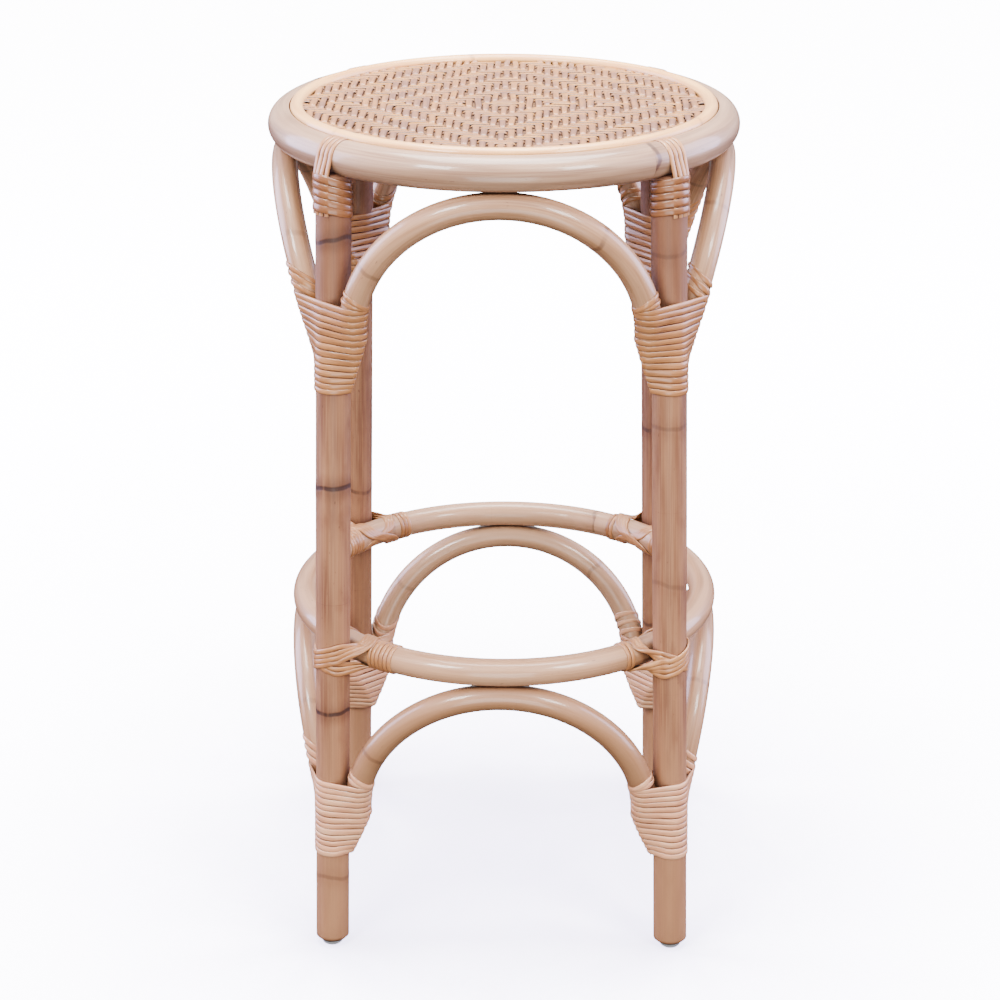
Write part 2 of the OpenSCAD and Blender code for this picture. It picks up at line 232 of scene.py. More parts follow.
@dataclass
class MeshMaker:
    """Gathers sweeps into one mesh with the attributes that the finishes read."""

    verts: list[Array] = field(default_factory=list)
    corners: list[Array] = field(default_factory=list)
    sizes: list[Array] = field(default_factory=list)
    layers: list[Array] = field(default_factory=list)
    count: int = 0

    def add(self, sweep: Sweep, shape: Callable[[Array], Array] | None = None) -> None:
        """Adds a sweep.

        Args:
            sweep: The sweep.
            shape: Changes the swept points, as whittling an end does.
        """
        points = sweep.points()
        if shape:
            points = shape(points)
        rings, sides = points.shape[:2]
        spans = rings if sweep.closed else rings - 1
        ring = np.arange(spans)[:, None] + np.array([0, 1, 1, 0])
        side = np.arange(sides)[:, None] + np.array([0, 0, 1, 1])
        ring = np.broadcast_to(ring[:, None], (spans, sides, 4)).reshape(-1)
        side = np.broadcast_to(side[None] % sides, (spans, sides, 4)).reshape(-1)
        self._faces(sweep, ring, side, np.full(spans * sides, 4), points)
        if not sweep.closed:
            order = np.arange(sides)
            self._faces(sweep, np.zeros(sides, int), order, np.array([sides]), points)
            self._faces(sweep, np.full(sides, rings - 1), order[::-1], np.array([sides]), points)
        self.verts.append(points.reshape(-1, 3))
        self.count += rings * sides

    def add_at(self, corner: int, sweeps: Sequence[Sweep]) -> None:
        """Adds sweeps that were shaped at the front right corner, turned to another corner."""
        for sweep in sweeps:
            sweep.path, sweep.up = turned(sweep.path, corner), turned(sweep.up, corner)
            self.add(sweep)

    def _faces(self, sweep: Sweep, ring: Array, side: Array, sizes: Array, points: Array) -> None:
        """Records faces by the ring and the side of each of their corners."""
        rings, sides = points.shape[:2]
        run = sweep.run()[ring]
        section = sweep.section[side]
        tone = np.broadcast_to(sweep.tone, (rings,))[ring % rings]
        self.corners.append(self.count + (ring % rings) * sides + side)
        self.sizes.append(sizes)
        self.layers.append(np.column_stack([section, run, sweep.scar_at(run), tone]))

    def piece(self, name: str, finish: bpy.types.Material, slot: Slot, *nodes: str) -> None:
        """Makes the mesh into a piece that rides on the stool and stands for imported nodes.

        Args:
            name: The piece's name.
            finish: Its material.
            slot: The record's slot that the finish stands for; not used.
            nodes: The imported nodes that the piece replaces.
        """
        mesh = bpy.data.meshes.new(name)
        verts, corners = np.concatenate(self.verts), np.concatenate(self.corners)
        sizes, layers = np.concatenate(self.sizes), np.concatenate(self.layers)
        mesh.vertices.add(len(verts))
        mesh.vertices.foreach_set("co", verts.ravel())
        mesh.loops.add(len(corners))
        mesh.loops.foreach_set("vertex_index", corners.astype(np.int32))
        mesh.polygons.add(len(sizes))
        mesh.polygons.foreach_set("loop_start", np.concatenate([[0], np.cumsum(sizes)[:-1]]).astype(np.int32))
        mesh.polygons.foreach_set("use_smooth", np.ones(len(sizes), bool))
        mesh.update(calc_edges=True)
        fibre = mesh.attributes.new(Layer.FIBRE.value, "FLOAT_VECTOR", "CORNER")
        fibre.data.foreach_set("vector", np.ascontiguousarray(layers[:, 0:3]).ravel())
        scar = mesh.attributes.new(Layer.SCAR.value, "FLOAT_VECTOR", "CORNER")
        scar.data.foreach_set("vector", np.column_stack([layers[:, 3:5], np.zeros(len(layers))]).ravel())
        tone = mesh.attributes.new(Layer.TONE.value, "FLOAT", "CORNER")
        tone.data.foreach_set("value", np.ascontiguousarray(layers[:, 5]))
        mesh.set_sharp_from_angle(angle=math.radians(50))
        mesh.materials.append(finish)
        piece = bpy.data.objects.new(name, mesh)
        bpy.context.scene.collection.objects.link(piece)
        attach(piece, BODY)
        if nodes:
            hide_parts(*nodes)
        LOG.info("%s: %d points", name, len(verts))


def widened(width: float | Array, count: int) -> Array:
    """Returns the swell of a strand of count points whose width, but not its crown, is scaled."""
    return np.stack([np.broadcast_to(width, (count,)), np.ones(count)], 1)


def round_section(radius: float, sides: int) -> Array:
    """Returns a circle of the given radius as (across, up) pairs."""
    angle = np.arange(sides) * 2 * math.pi / sides
    return radius * np.stack([np.cos(angle), np.sin(angle)], 1)


def cane_section(width: float, thick: float, root: float = 0.5 * MM) -> Array:
    """Draws the section of a split cane strip: crowned skin above, flat pith below.

    Args:
        width: Width across the strip.
        thick: Height of the crown above the wound surface.
        root: How far the strip is bedded below that surface.

    Returns:
        The section as (across, up) pairs.
    """
    angle = np.linspace(0, math.pi, 9)
    crown = np.stack([width / 2 * np.cos(angle), thick * np.sin(angle) ** 0.6], 1)
    return np.vstack([crown, [[-0.46 * width, -root], [0.46 * width, -root]]])


def natural_pole(path: Array, up: Array, radius: float, scars: Scars, rng: np.random.Generator,
                 closed: bool = False, sides: int = 40) -> Sweep:
    """Carries a round section along a path with a grown pole's small swells and bends.

    Args:
        path: The pole's true centreline.
        up: A direction square to the path, at each point or for all.
        radius: The pole's radius.
        scars: Growth scars along it, where it swells a little.
        rng: Source of the irregularities.
        closed: Whether the pole is bent round to its own start.
        sides: Number of points on the section.

    Returns:
        The sweep.
    """
    sweep = Sweep(path, up, round_section(radius, sides), closed, scars=scars)
    run = sweep.run()[:len(path)]
    waves = max(3, int(run[-1] / SLOW_BEND))
    swell = 1 + SWELLING * smooth_noise(len(path), waves, rng, closed)
    flat = OVALNESS * smooth_noise(len(path), waves, rng, closed)
    for place, strength in scars:
        swell = swell + SCAR_SWELLING * strength * np.exp(-(((run - place) / SCAR_REACH) ** 2))
    sweep.swell = np.stack([swell + flat, swell - flat], 1)
    return sweep


def pole_piece(node: str, pole: Sweep, finish: bpy.types.Material, slot: Slot,
               shape: Callable[[Array], Array] | None = None) -> None:
    """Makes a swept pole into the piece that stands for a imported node.

    Args:
        node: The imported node's name.
        pole: The swept pole.
        finish: Its material.
        slot: The record's slot.
        shape: Changes the swept points, as whittling an end does.
    """
    maker = MeshMaker()
    maker.add(pole, shape)
    maker.piece(f"{node}_pole", finish, slot, node)


# ---- Finishes ----


def linear(code: str) -> tuple[float, float, float, float]:
    """Turns an sRGB hex colour into linear RGB with full alpha."""
    parts = [int(code[k:k + 2], 16) / 255 for k in (1, 3, 5)]
    red, green, blue = (p / 12.92 if p <= 0.04045 else ((p + 0.055) / 1.055) ** 2.4 for p in parts)
    return red, green, blue, 1.0


def add_node(tree: bpy.types.NodeTree, kind: str, inputs: dict | None = None, **settings) -> bpy.types.Node:
    """Adds a node with its settings and its inputs.

    Args:
        tree: The material's node tree.
        kind: The node's type name, without its common beginning.
        inputs: Value or output socket for each input, by the input's name or number.
        settings: Values of the node's own properties.

    Returns:
        The node.
    """
    node = tree.nodes.new("ShaderNode" + kind)
    for name, value in settings.items():
        setattr(node, name, value)
    for key, value in (inputs or {}).items():
        socket = node.inputs[key]
        if isinstance(value, bpy.types.NodeSocket):
            tree.links.new(value, socket)
        else:
            socket.default_value = value
    return node


@dataclass(frozen=True)
class Finish:
    """What every finish shares: a name, a surface shader and ways to mix patterns."""

    name: str

    def start(self, **surface) -> tuple[bpy.types.Material, bpy.types.NodeTree, bpy.types.Node]:
        """Makes an empty material.

        Args:
            surface: Values for the shader's own sockets, with underscores for spaces.

        Returns:
            The material, its node tree and its surface shader.
        """
        material = bpy.data.materials.new(self.name)
        material.use_nodes = True
        tree = material.node_tree
        tree.nodes.clear()
        inputs = {key.replace("_", " "): value for key, value in surface.items()}
        shader = add_node(tree, "BsdfPrincipled", inputs)
        add_node(tree, "OutputMaterial", {"Surface": shader.outputs["BSDF"]})
        return material, tree, shader

    @staticmethod
    def read(tree: bpy.types.NodeTree, layer: Layer, output: str = "Vector") -> bpy.types.NodeSocket:
        """Returns an output of the node that reads a mesh attribute."""
        return add_node(tree, "Attribute", attribute_name=layer.value).outputs[output]

    @staticmethod
    def stretched(tree: bpy.types.NodeTree, source: bpy.types.NodeSocket,
                  spacing_mm: tuple[float, float, float], detail: float = 2.0) -> bpy.types.NodeSocket:
        """Draws noise whose grains have a real size along each axis of source.

        Args:
            tree: The material's node tree.
            source: Place on the piece, in metres.
            spacing_mm: Size of a grain along each axis.
            detail: How many finer layers the noise has.

        Returns:
            The noise, about 0.5 on average.
        """
        scale = tuple(1 / (size * MM) for size in spacing_mm)
        place = add_node(tree, "VectorMath", {0: source, 1: scale}, operation="MULTIPLY")
        noise = add_node(tree, "TexNoise", {"Vector": place.outputs[0], "Scale": 1.0, "Detail": detail})
        return noise.outputs["Fac"]

    @staticmethod
    def limits(tree: bpy.types.NodeTree, source: bpy.types.NodeSocket, low: float, high: float,
               out_low: float = 0.0, out_high: float = 1.0) -> bpy.types.NodeSocket:
        """Eases source from out_low, where it is at low, to out_high, where it is at high."""
        node = add_node(tree, "MapRange", {"Value": source, "From Min": low, "From Max": high,
                                           "To Min": out_low, "To Max": out_high},
                        interpolation_type="SMOOTHSTEP")
        return node.outputs["Result"]

    @staticmethod
    def blend(tree: bpy.types.NodeTree, factor: bpy.types.NodeSocket | float, first, second,
              mode: str = "MIX") -> bpy.types.NodeSocket:
        """Mixes two colours, each a hex code or a socket, by factor."""
        colours = [linear(c) if isinstance(c, str) else c for c in (first, second)]
        # The colour mix has its factor first and its two colours in its seventh and eighth inputs
        inputs = {0: factor, 6: colours[0], 7: colours[1]}
        return add_node(tree, "Mix", inputs, data_type="RGBA", blend_type=mode).outputs[2]

    @classmethod
    def painted_crevice_shade(cls, tree: bpy.types.NodeTree, colour: bpy.types.NodeSocket, dark: str, reach_mm: float,
                 depth: float) -> bpy.types.NodeSocket:
        """Paints shade into a colour where nearby surfaces shut out light: in gaps and beside whatever the
        piece touches.

        Args:
            tree: The material's node tree.
            colour: The colour.
            dark: Hex code of the painted shade.
            reach_mm: How far from a touching surface it starts.
            depth: How much of it covers the deepest gaps, 0 to 1.

        Returns:
            The darkened colour.
        """
        # Painted shade: the colour darkens where ambient occlusion finds nearby surfaces
        shade = add_node(tree, "AmbientOcclusion", {"Distance": reach_mm * MM}, samples=5)
        return cls.blend(tree, cls.limits(tree, shade.outputs["AO"], 0.15, 0.8, depth, 0.0), colour, dark)

    @staticmethod
    def combined(tree: bpy.types.NodeTree, operation: str, first, second) -> bpy.types.NodeSocket:
        """Joins two numbers, each a value or a socket, by a Math node's operation."""
        return add_node(tree, "Math", {0: first, 1: second}, operation=operation).outputs[0]

    @staticmethod
    def dress(tree: bpy.types.NodeTree, shader: bpy.types.Node, colour: bpy.types.NodeSocket,
              rough: bpy.types.NodeSocket | None = None, relief: tuple | None = None) -> None:
        """Gives a surface shader its patterns.

        Args:
            tree: The material's node tree.
            shader: The surface shader.
            colour: Its colour.
            rough: Its roughness, where that varies.
            relief: Height, strength and depth in mm of its bumps, where it has any.
        """
        tree.links.new(colour, shader.inputs["Base Color"])
        if rough:
            tree.links.new(rough, shader.inputs["Roughness"])
        if relief:
            height, strength, depth_mm = relief
            bump = add_node(tree, "Bump", {"Height": height, "Strength": strength, "Distance": depth_mm * MM})
            tree.links.new(bump.outputs["Normal"], shader.inputs["Normal"])


@dataclass(frozen=True)
class LacqueredRattan(Finish):
    """Whole rattan pole, steamed and bent, then sprayed with clear lacquer.

    The eye sees fibre bundles along the pole, slow patches where the skin ripened unevenly, dark
    ragged lines at the growth scars, and soft long highlights from the lacquer.
    """

    pale: str = "#c79975"
    mid: str = "#b78865"
    dark: str = "#986a48"
    scar: str = "#3a1c10"
    roughness: float = 0.40
    coat: float = 0.6
    coat_roughness: float = 0.11
    patchiness: float = 0.5
    streaks: float = 0.45
    # Painted shade in gaps and beside touching pieces: how far it reaches and how dark it gets
    shade_reach_mm: float = 9.0
    shade_depth: float = 0.8

    # Fibre bundles are about 0.4 mm across: they are drawn 1.2 mm across, or they wouldn't show.
    fibre_mm: tuple[float, float, float] = (1.2, 1.2, 70.0)
    band_mm: tuple[float, float, float] = (7.0, 7.0, 110.0)
    patch_mm: tuple[float, float, float] = (26.0, 26.0, 60.0)
    speck_mm: tuple[float, float, float] = (2.2, 2.2, 6.0)
    # Growth scars: how far their lines sway and over what size, how big their breaks are, and where the
    # line and the stain beside it start and end
    sway: float = 8 * MM
    sway_mm: tuple[float, float, float] = (50.0, 50.0, 300.0)
    break_mm: tuple[float, float, float] = (12.0, 12.0, 300.0)
    line_reach: tuple[float, float] = (0.8 * MM, 3.0 * MM)
    halo_reach: tuple[float, float] = (1.0 * MM, 16 * MM)

    def make(self) -> bpy.types.Material:
        """Returns the material."""
        material, tree, shader = self.start(
            Coat_Weight=self.coat, Coat_Roughness=self.coat_roughness, IOR=1.5)
        fibre = self.read(tree, Layer.FIBRE)
        scar = self.read(tree, Layer.SCAR)
        fine = self.stretched(tree, fibre, self.fibre_mm)
        band = self.stretched(tree, fibre, self.band_mm, 1.0)
        patch = self.stretched(tree, fibre, self.patch_mm, 3.0)
        speck = self.stretched(tree, fibre, self.speck_mm, 1.0)
        colour = self.blend(tree, self.limits(tree, band, 0.32, 0.68), self.dark, self.mid)
        colour = self.blend(tree, self.limits(tree, fine, 0.38, 0.72, 0.0, self.streaks), colour, self.pale)
        ripe = self.limits(tree, patch, 0.5, 0.78, 0.0, self.patchiness)
        colour = self.blend(tree, ripe, colour, self.dark)
        colour = self.blend(tree, self.limits(tree, speck, 0.73, 0.8, 0.0, 0.45), colour, self.scar)
        # The tone attribute darkens or pales the colour; on the legs and rings it is painted shade and
        # painted light
        tone = self.read(tree, Layer.TONE, "Fac")
        colour = self.blend(tree, self.limits(tree, tone, 0.0, 0.5, 0.75, 0.0), colour, self.dark)
        colour = self.blend(tree, self.limits(tree, tone, 0.5, 1.0, 0.0, 0.65), colour, self.pale)

        parts = add_node(tree, "SeparateXYZ", {0: scar}).outputs
        slow = self.stretched(tree, fibre, self.sway_mm)
        sway = self.limits(tree, slow, 0.2, 0.8, -self.sway, self.sway)
        gap = self.combined(tree, "ABSOLUTE", self.combined(tree, "ADD", parts["X"], sway), 0.0)
        patchy = self.limits(tree, self.stretched(tree, fibre, self.break_mm), 0.22, 0.45)
        line = self.combined(tree, "MULTIPLY", self.limits(tree, gap, *self.line_reach, 1.0, 0.0), patchy)
        line = self.combined(tree, "MULTIPLY", line, self.combined(tree, "MULTIPLY", parts["Y"], 1.2))
        halo = self.combined(tree, "MULTIPLY", self.limits(tree, gap, *self.halo_reach, 0.5, 0.0), patchy)
        halo = self.combined(tree, "MULTIPLY", halo, parts["Y"])
        colour = self.blend(tree, halo, colour, self.dark, "MULTIPLY")
        colour = self.blend(tree, line, colour, self.scar)
        # Painted shade in gaps and beside touching pieces, in the scar colour
        colour = self.painted_crevice_shade(tree, colour, self.scar, self.shade_reach_mm, self.shade_depth)
        rough = self.limits(tree, fine, 0.3, 0.7, self.roughness - 0.05, self.roughness + 0.08)
        height = self.combined(tree, "SUBTRACT", self.combined(tree, "MULTIPLY", fine, 0.5), line)
        self.dress(tree, shader, colour, rough, (height, 0.5, 0.25))
        return material


@dataclass(frozen=True)
class SplitCane(Finish):
    """Split rattan peel, wound or woven damp with its skin outward, then lacquered with the stool.

    The eye sees glossy strips, each of its own shade, with fine lines along them; painted shade darkens their
    edges and the gaps between them.
    """

    pale: str = "#d0915c"
    mid: str = "#b87b4c"
    dark: str = "#915b36"
    # Colour of the fine lines, and of the painted shade at the strips' edges and in gaps
    edge: str = "#472c19"
    width_mm: float = 5.6
    roughness: float = 0.34
    coat: float = 0.5
    # How dark the painted shade at the edges gets, and the share of the half width where it begins
    edge_shade_depth: float = 0.6
    edge_shade_from: float = 0.78
    # Painted shade in gaps and beside touching pieces: how far it reaches and how dark it gets
    shade_reach_mm: float = 4.0
    shade_depth: float = 0.85

    def make(self) -> bpy.types.Material:
        """Returns the material."""
        material, tree, shader = self.start(Coat_Weight=self.coat, Coat_Roughness=0.13, IOR=1.5)
        fibre = self.read(tree, Layer.FIBRE)
        tone = self.read(tree, Layer.TONE, "Fac")
        # Lines in cane skin are 0.3 mm apart: they are drawn 0.9 mm apart, or they wouldn't show.
        fine = self.stretched(tree, fibre, (0.9, 0.9, 30.0))
        patch = self.stretched(tree, fibre, (12.0, 12.0, 24.0), 3.0)
        shade = self.combined(tree, "ADD", tone, self.limits(tree, patch, 0.3, 0.7, -0.22, 0.22))
        colour = self.blend(tree, self.limits(tree, shade, 0.0, 0.5), self.dark, self.mid)
        colour = self.blend(tree, self.limits(tree, shade, 0.5, 1.0), colour, self.pale)
        colour = self.blend(tree, self.limits(tree, fine, 0.3, 0.75, 0.3, 0.0), colour, self.edge)
        # Painted shade along each strip's edges, beside the gaps between strips
        across = add_node(tree, "SeparateXYZ", {0: fibre}).outputs["X"]
        rim = self.combined(tree, "ABSOLUTE", across, 0.0)
        half = self.width_mm / 2 * MM
        rim = self.limits(tree, rim, self.edge_shade_from * half, half, 0.0, self.edge_shade_depth)
        colour = self.blend(tree, rim, colour, self.edge)
        # Painted shade in gaps and beside touching pieces
        colour = self.painted_crevice_shade(tree, colour, self.edge, self.shade_reach_mm, self.shade_depth)
        rough = self.limits(tree, fine, 0.3, 0.7, self.roughness - 0.04, self.roughness + 0.08)
        self.dress(tree, shader, colour, rough, (fine, 0.35, 0.12))
        return material


@dataclass(frozen=True)
class ShadeDarkPlywood(Finish):
    """Plywood stained brown, so that it reads as shadow through the weave: long flame grain, matt."""

    pale: str = "#6a4630"
    dark: str = "#452a1b"

    def make(self) -> bpy.types.Material:
        """Returns the material."""
        material, tree, shader = self.start(Roughness=0.62)
        place = add_node(tree, "TexCoord").outputs["Object"]
        flame = self.stretched(tree, place, (14.0, 160.0, 4.0), 3.0)
        pores = self.stretched(tree, place, (0.9, 14.0, 0.9), 2.0)
        colour = self.blend(tree, self.limits(tree, flame, 0.35, 0.65), self.pale, self.dark)
        colour = self.blend(tree, self.limits(tree, pores, 0.55, 0.75, 0.0, 0.4), colour, self.dark)
        self.dress(tree, shader, colour, relief=(pores, 0.3, 0.1))
        return material


@dataclass(frozen=True)
class MouldedNylon(Finish):
    """Injection-moulded grey nylon glide: dull, with a fine moulded texture and dusty patches."""

    pale: str = "#a6a7a8"
    dark: str = "#85878a"

    def make(self) -> bpy.types.Material:
        """Returns the material."""
        material, tree, shader = self.start(IOR=1.53)
        place = add_node(tree, "TexCoord").outputs["Object"]
        dust = self.stretched(tree, place, (4.0, 4.0, 2.0), 3.0)
        grain = self.stretched(tree, place, (0.6, 0.6, 0.6), 1.0)
        colour = self.blend(tree, dust, self.dark, self.pale)
        self.dress(tree, shader, colour, self.limits(tree, dust, 0.3, 0.7, 0.42, 0.6), (grain, 0.3, 0.05))
        return material


@dataclass(frozen=True)
class DrawnSteel(Finish):
    """Drawn steel wire or zinc-plated screw stock: grey metal with draw marks and dull spots."""

    bright: str = "#c9c6bf"
    dull: str = "#8d8780"
    roughness: float = 0.35

    def make(self) -> bpy.types.Material:
        """Returns the material."""
        material, tree, shader = self.start(Metallic=1.0)
        place = add_node(tree, "TexCoord").outputs["Object"]
        spots = self.stretched(tree, place, (1.5, 1.5, 1.5), 3.0)
        colour = self.blend(tree, self.limits(tree, spots, 0.4, 0.65), self.bright, self.dull)
        rough = self.limits(tree, spots, 0.3, 0.7, self.roughness, self.roughness + 0.2)
        self.dress(tree, shader, colour, rough)
        return material


@dataclass(frozen=True)
class LitBackdrop(Finish):
    """Translucent white sweep of a product studio, lit from under: almost white, with faint painted shadows
    in its glow.
    """

    pale: str = "#f4f3f8"
    dark: str = "#eeedf3"
    glow: str = "#fbf9ff"
    # Colour of the painted shadow in the glow
    painted_shadow_colour: str = "#dcd3fa"
    # The glow near the stool and far from it, and the distances between which it grows: the dimmer glow near
    # the stool is painted shade
    near: float = 10.0
    far: float = 13.0
    span: tuple[float, float] = (0.4, 2.1)
    # Open share of the sky above the floor, for the painted shadow: at the first it is in full painted
    # shadow, at the second in none
    cover: tuple[float, float] = (0.76, 0.97)

    def make(self) -> bpy.types.Material:
        """Returns the material."""
        material, tree, shader = self.start(Roughness=0.9)
        place = add_node(tree, "TexCoord").outputs["Object"]
        away = add_node(tree, "VectorMath", {0: place}, operation="LENGTH").outputs["Value"]
        # Painted shadow: the glow dims and turns violet where the stool shuts out the sky above the floor
        shade = add_node(tree, "AmbientOcclusion", {"Distance": 1.0}, samples=16).outputs["AO"]
        glow = self.blend(tree, self.limits(tree, shade, *self.cover), self.painted_shadow_colour, self.glow)
        tree.links.new(glow, shader.inputs["Emission Color"])
        strength = self.combined(tree, "MULTIPLY", self.limits(tree, away, *self.span, self.near, self.far),
                               self.limits(tree, shade, *self.cover, 0.4, 1.0))
        tree.links.new(strength, shader.inputs["Emission Strength"])
        mottle = self.stretched(tree, place, (240.0, 240.0, 240.0), 2.0)
        self.dress(tree, shader, self.blend(tree, mottle, self.dark, self.pale))
        return material


# ---- Where the frame says things are ----


@dataclass(frozen=True)
class Ring:
    """A round pole bent into a level ring about the stool's axis."""

    radius: float
    height: float
    pole: float

    @classmethod
    def of(cls, node: str) -> "Ring":
        """Measures a packed ring."""
        low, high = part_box(node)
        pole = (high.z - low.z) / 2
        return cls(high.x - pole, (high.z + low.z) / 2, pole)

    def at(self, angle: Array | float) -> Array:
        """Returns points on the centreline at angles about the axis."""
        angle = np.atleast_1d(angle)
        flat = np.full(len(angle), self.height)
        return np.stack([self.radius * np.cos(angle), self.radius * np.sin(angle), flat], 1)


@dataclass(frozen=True)
class LegLine:
    """The axis of the legs, which lean outward towards the floor on the diagonals."""

    foot: float
    head: float
    head_z: float
    pole: float = 15 * MM

    @classmethod
    def measured(cls, screw_head: float = 4.5 * MM) -> "LegLine":
        """Measures the legs by the glides under them and the screws in their heads."""
        glide_low, glide_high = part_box("glide_front_right")
        _, screw_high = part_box("seat_screws")
        return cls((glide_low.x + glide_high.x) / 2, screw_high.x - screw_head, Ring.of("seat_ring").height)

    def offset(self, z: Array | float) -> Array | float:
        """Returns the axis's distance from the X and Y axes' planes at height z."""
        return self.foot + (self.head - self.foot) * np.asarray(z) / self.head_z

    def radius(self, z: Array | float) -> Array | float:
        """Returns the axis's distance from the stool's axis at height z."""
        return self.offset(z) * math.sqrt(2)

    def axis(self, z: Array) -> Array:
        """Returns points on the front right leg's axis at heights z."""
        a = self.offset(z)
        return np.stack([a, -a, z], 1)


@dataclass(frozen=True)
class ArchLine:
    """An arch of one tier, as it stands on the front side: a half circle on two straight ends."""

    legs: LegLine
    crown_radius: float
    crown_z: float
    half_span: float
    tip_z: float
    tip_inset: float
    pole: float = 11.5 * MM
    scarf_drop: float = 4 * MM
    wrap_fall: float = 8 * MM
    wrap_rise: float = 74 * MM

    @classmethod
    def measured(cls, tier: str, ring: Ring, legs: LegLine, tip_inset: float,
                 drop: float = 192 * MM) -> "ArchLine":
        """Measures a tier's arches.

        Args:
            tier: The tier's name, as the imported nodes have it.
            ring: The ring over the tier.
            legs: The legs.
            tip_inset: How far the tips lie inside the line through the legs' axes.
            drop: Drop from the ring to the arches' tips.

        Returns:
            The arch on the front side.
        """
        low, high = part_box(f"{tier}_arch_front")
        pole = cls.pole
        return cls(legs, -low.y - pole, high.z - pole, high.x - pole, ring.height - drop, tip_inset)

    @property
    def lean(self) -> float:
        """Angle by which the arch's plane leans outward towards its crown."""
        rise = self.crown_z - self.tip_z
        return math.atan((self.crown_radius - self.legs.offset(self.tip_z) + self.tip_inset) / rise)

    @property
    def spring_z(self) -> float:
        """Height at which the half circle ends."""
        return self.crown_z - self.half_span * math.cos(self.lean)

    def out(self, z: Array | float) -> Array | float:
        """Returns the arch's distance from the stool's middle plane at height z."""
        return self.crown_radius - (self.crown_z - np.asarray(z)) * math.tan(self.lean)

    def side(self, z: Array | float) -> Array | float:
        """Returns half the distance between the arch's two sides at height z."""
        rise = np.maximum(np.asarray(z) - self.spring_z, 0) / math.cos(self.lean)
        return np.sqrt(np.maximum(self.half_span**2 - rise**2, 0))

    def upright(self) -> Array:
        """Returns the direction that the arch's plane rises in."""
        return np.array([0, -math.sin(self.lean), math.cos(self.lean)])

    def square(self) -> Array:
        """Returns the direction square to the arch's plane, outward."""
        return np.array([0, -math.cos(self.lean), -math.sin(self.lean)])

    def centreline(self, step: float = 2.5 * MM) -> Array:
        """Returns points from the left tip over the crown to the right tip."""
        straight = (self.spring_z - self.tip_z) / math.cos(self.lean)
        origin = np.array([0, -self.out(self.spring_z), self.spring_z])
        across, rise = np.array([1.0, 0, 0]), self.upright()
        drop = np.linspace(straight, 0, int(straight / step), endpoint=False)[:, None]
        left = origin - self.half_span * across - drop * rise
        angle = np.linspace(math.pi, 0, int(math.pi * self.half_span / step))[:, None]
        bend = origin + self.half_span * (np.cos(angle) * across + np.sin(angle) * rise)
        right = origin + self.half_span * across - drop[::-1] * rise
        return np.vstack([left, bend, right])

    def scarf(self, z: Array) -> Array:
        """Returns how far out the whittled inner face of an end lies at height z."""
        head_x, head_z = self.half_span - self.pole, self.spring_z - self.scarf_drop
        foot_z = self.tip_z - self.wrap_fall
        slope = (self.legs.offset(foot_z) - self.legs.pole - head_x) / (head_z - foot_z)
        return np.where(z < head_z, head_x + (head_z - z) * slope, 0.0)

    def whittled(self, points: Array) -> Array:
        """Flattens swept points against the whittled faces of both ends."""
        face = self.scarf(points[..., 2])
        x = np.where(points[..., 0] > 0, np.maximum(points[..., 0], face), np.minimum(points[..., 0], -face))
        return np.stack([x, points[..., 1], points[..., 2]], -1)


# ---- Poles ----


@dataclass
class Legs:
    """Four splayed pole legs."""

    line: LegLine
    finish: bpy.types.Material
    foot_z: float = 5 * MM
    head_lip: float = 3 * MM
    chamfer: float = 3 * MM
    step: float = 2.5 * MM
    # Heights and the skin's tone there: painted shade darkens it under the seat and painted light pales it at
    # the feet
    tones: tuple[tuple[float, float], ...] = ((0.0, 1.0), (0.11, 0.9), (0.3, 0.5), (0.55, 0.42), (0.68, 0.0))
    # Height and strength of each leg's growth scars, in the order of the corners
    scars: tuple[Scars, ...] = (
        ((0.158, 0.35), (0.355, 0.25), (0.500, 0.3), (0.655, 0.3)),
        ((0.190, 0.5), (0.395, 0.6), (0.560, 0.3)),
        ((0.120, 0.4), (0.330, 0.5), (0.520, 0.35), (0.690, 0.3)),
        ((0.068, 0.3), (0.236, 0.9), (0.441, 1.0), (0.663, 0.9)),
    )

    def build(self) -> None:
        """Makes and dresses the legs."""
        ring = Ring.of("seat_ring")
        head_z = ring.height - ring.pole + self.head_lip
        for corner, name in enumerate(CORNERS):
            rng = np.random.default_rng(100 + corner)
            z = np.arange(self.foot_z, head_z, self.step)
            z = np.concatenate([z[:1], [self.foot_z + self.chamfer], z[2:], [head_z]])
            scars = [(height - self.foot_z, strength) for height, strength in self.scars[corner]]
            pole = natural_pole(self.line.axis(z), np.array([[1.0, 1.0, 0]]), self.line.pole, scars, rng)
            narrow = 1 - self.chamfer / self.line.pole
            pole.swell[0] = narrow
            pole.swell[-1] = narrow
            # Painted shade and painted light along the leg's height, carried as its tone
            pole.tone = np.interp(z, *np.array(self.tones).T)
            maker = MeshMaker()
            maker.add_at(corner, [pole])
            # The piece has its own name, with the corner first
            maker.piece(f"{name}_leg_pole", self.finish, Slot.LEG, f"leg_{name}")


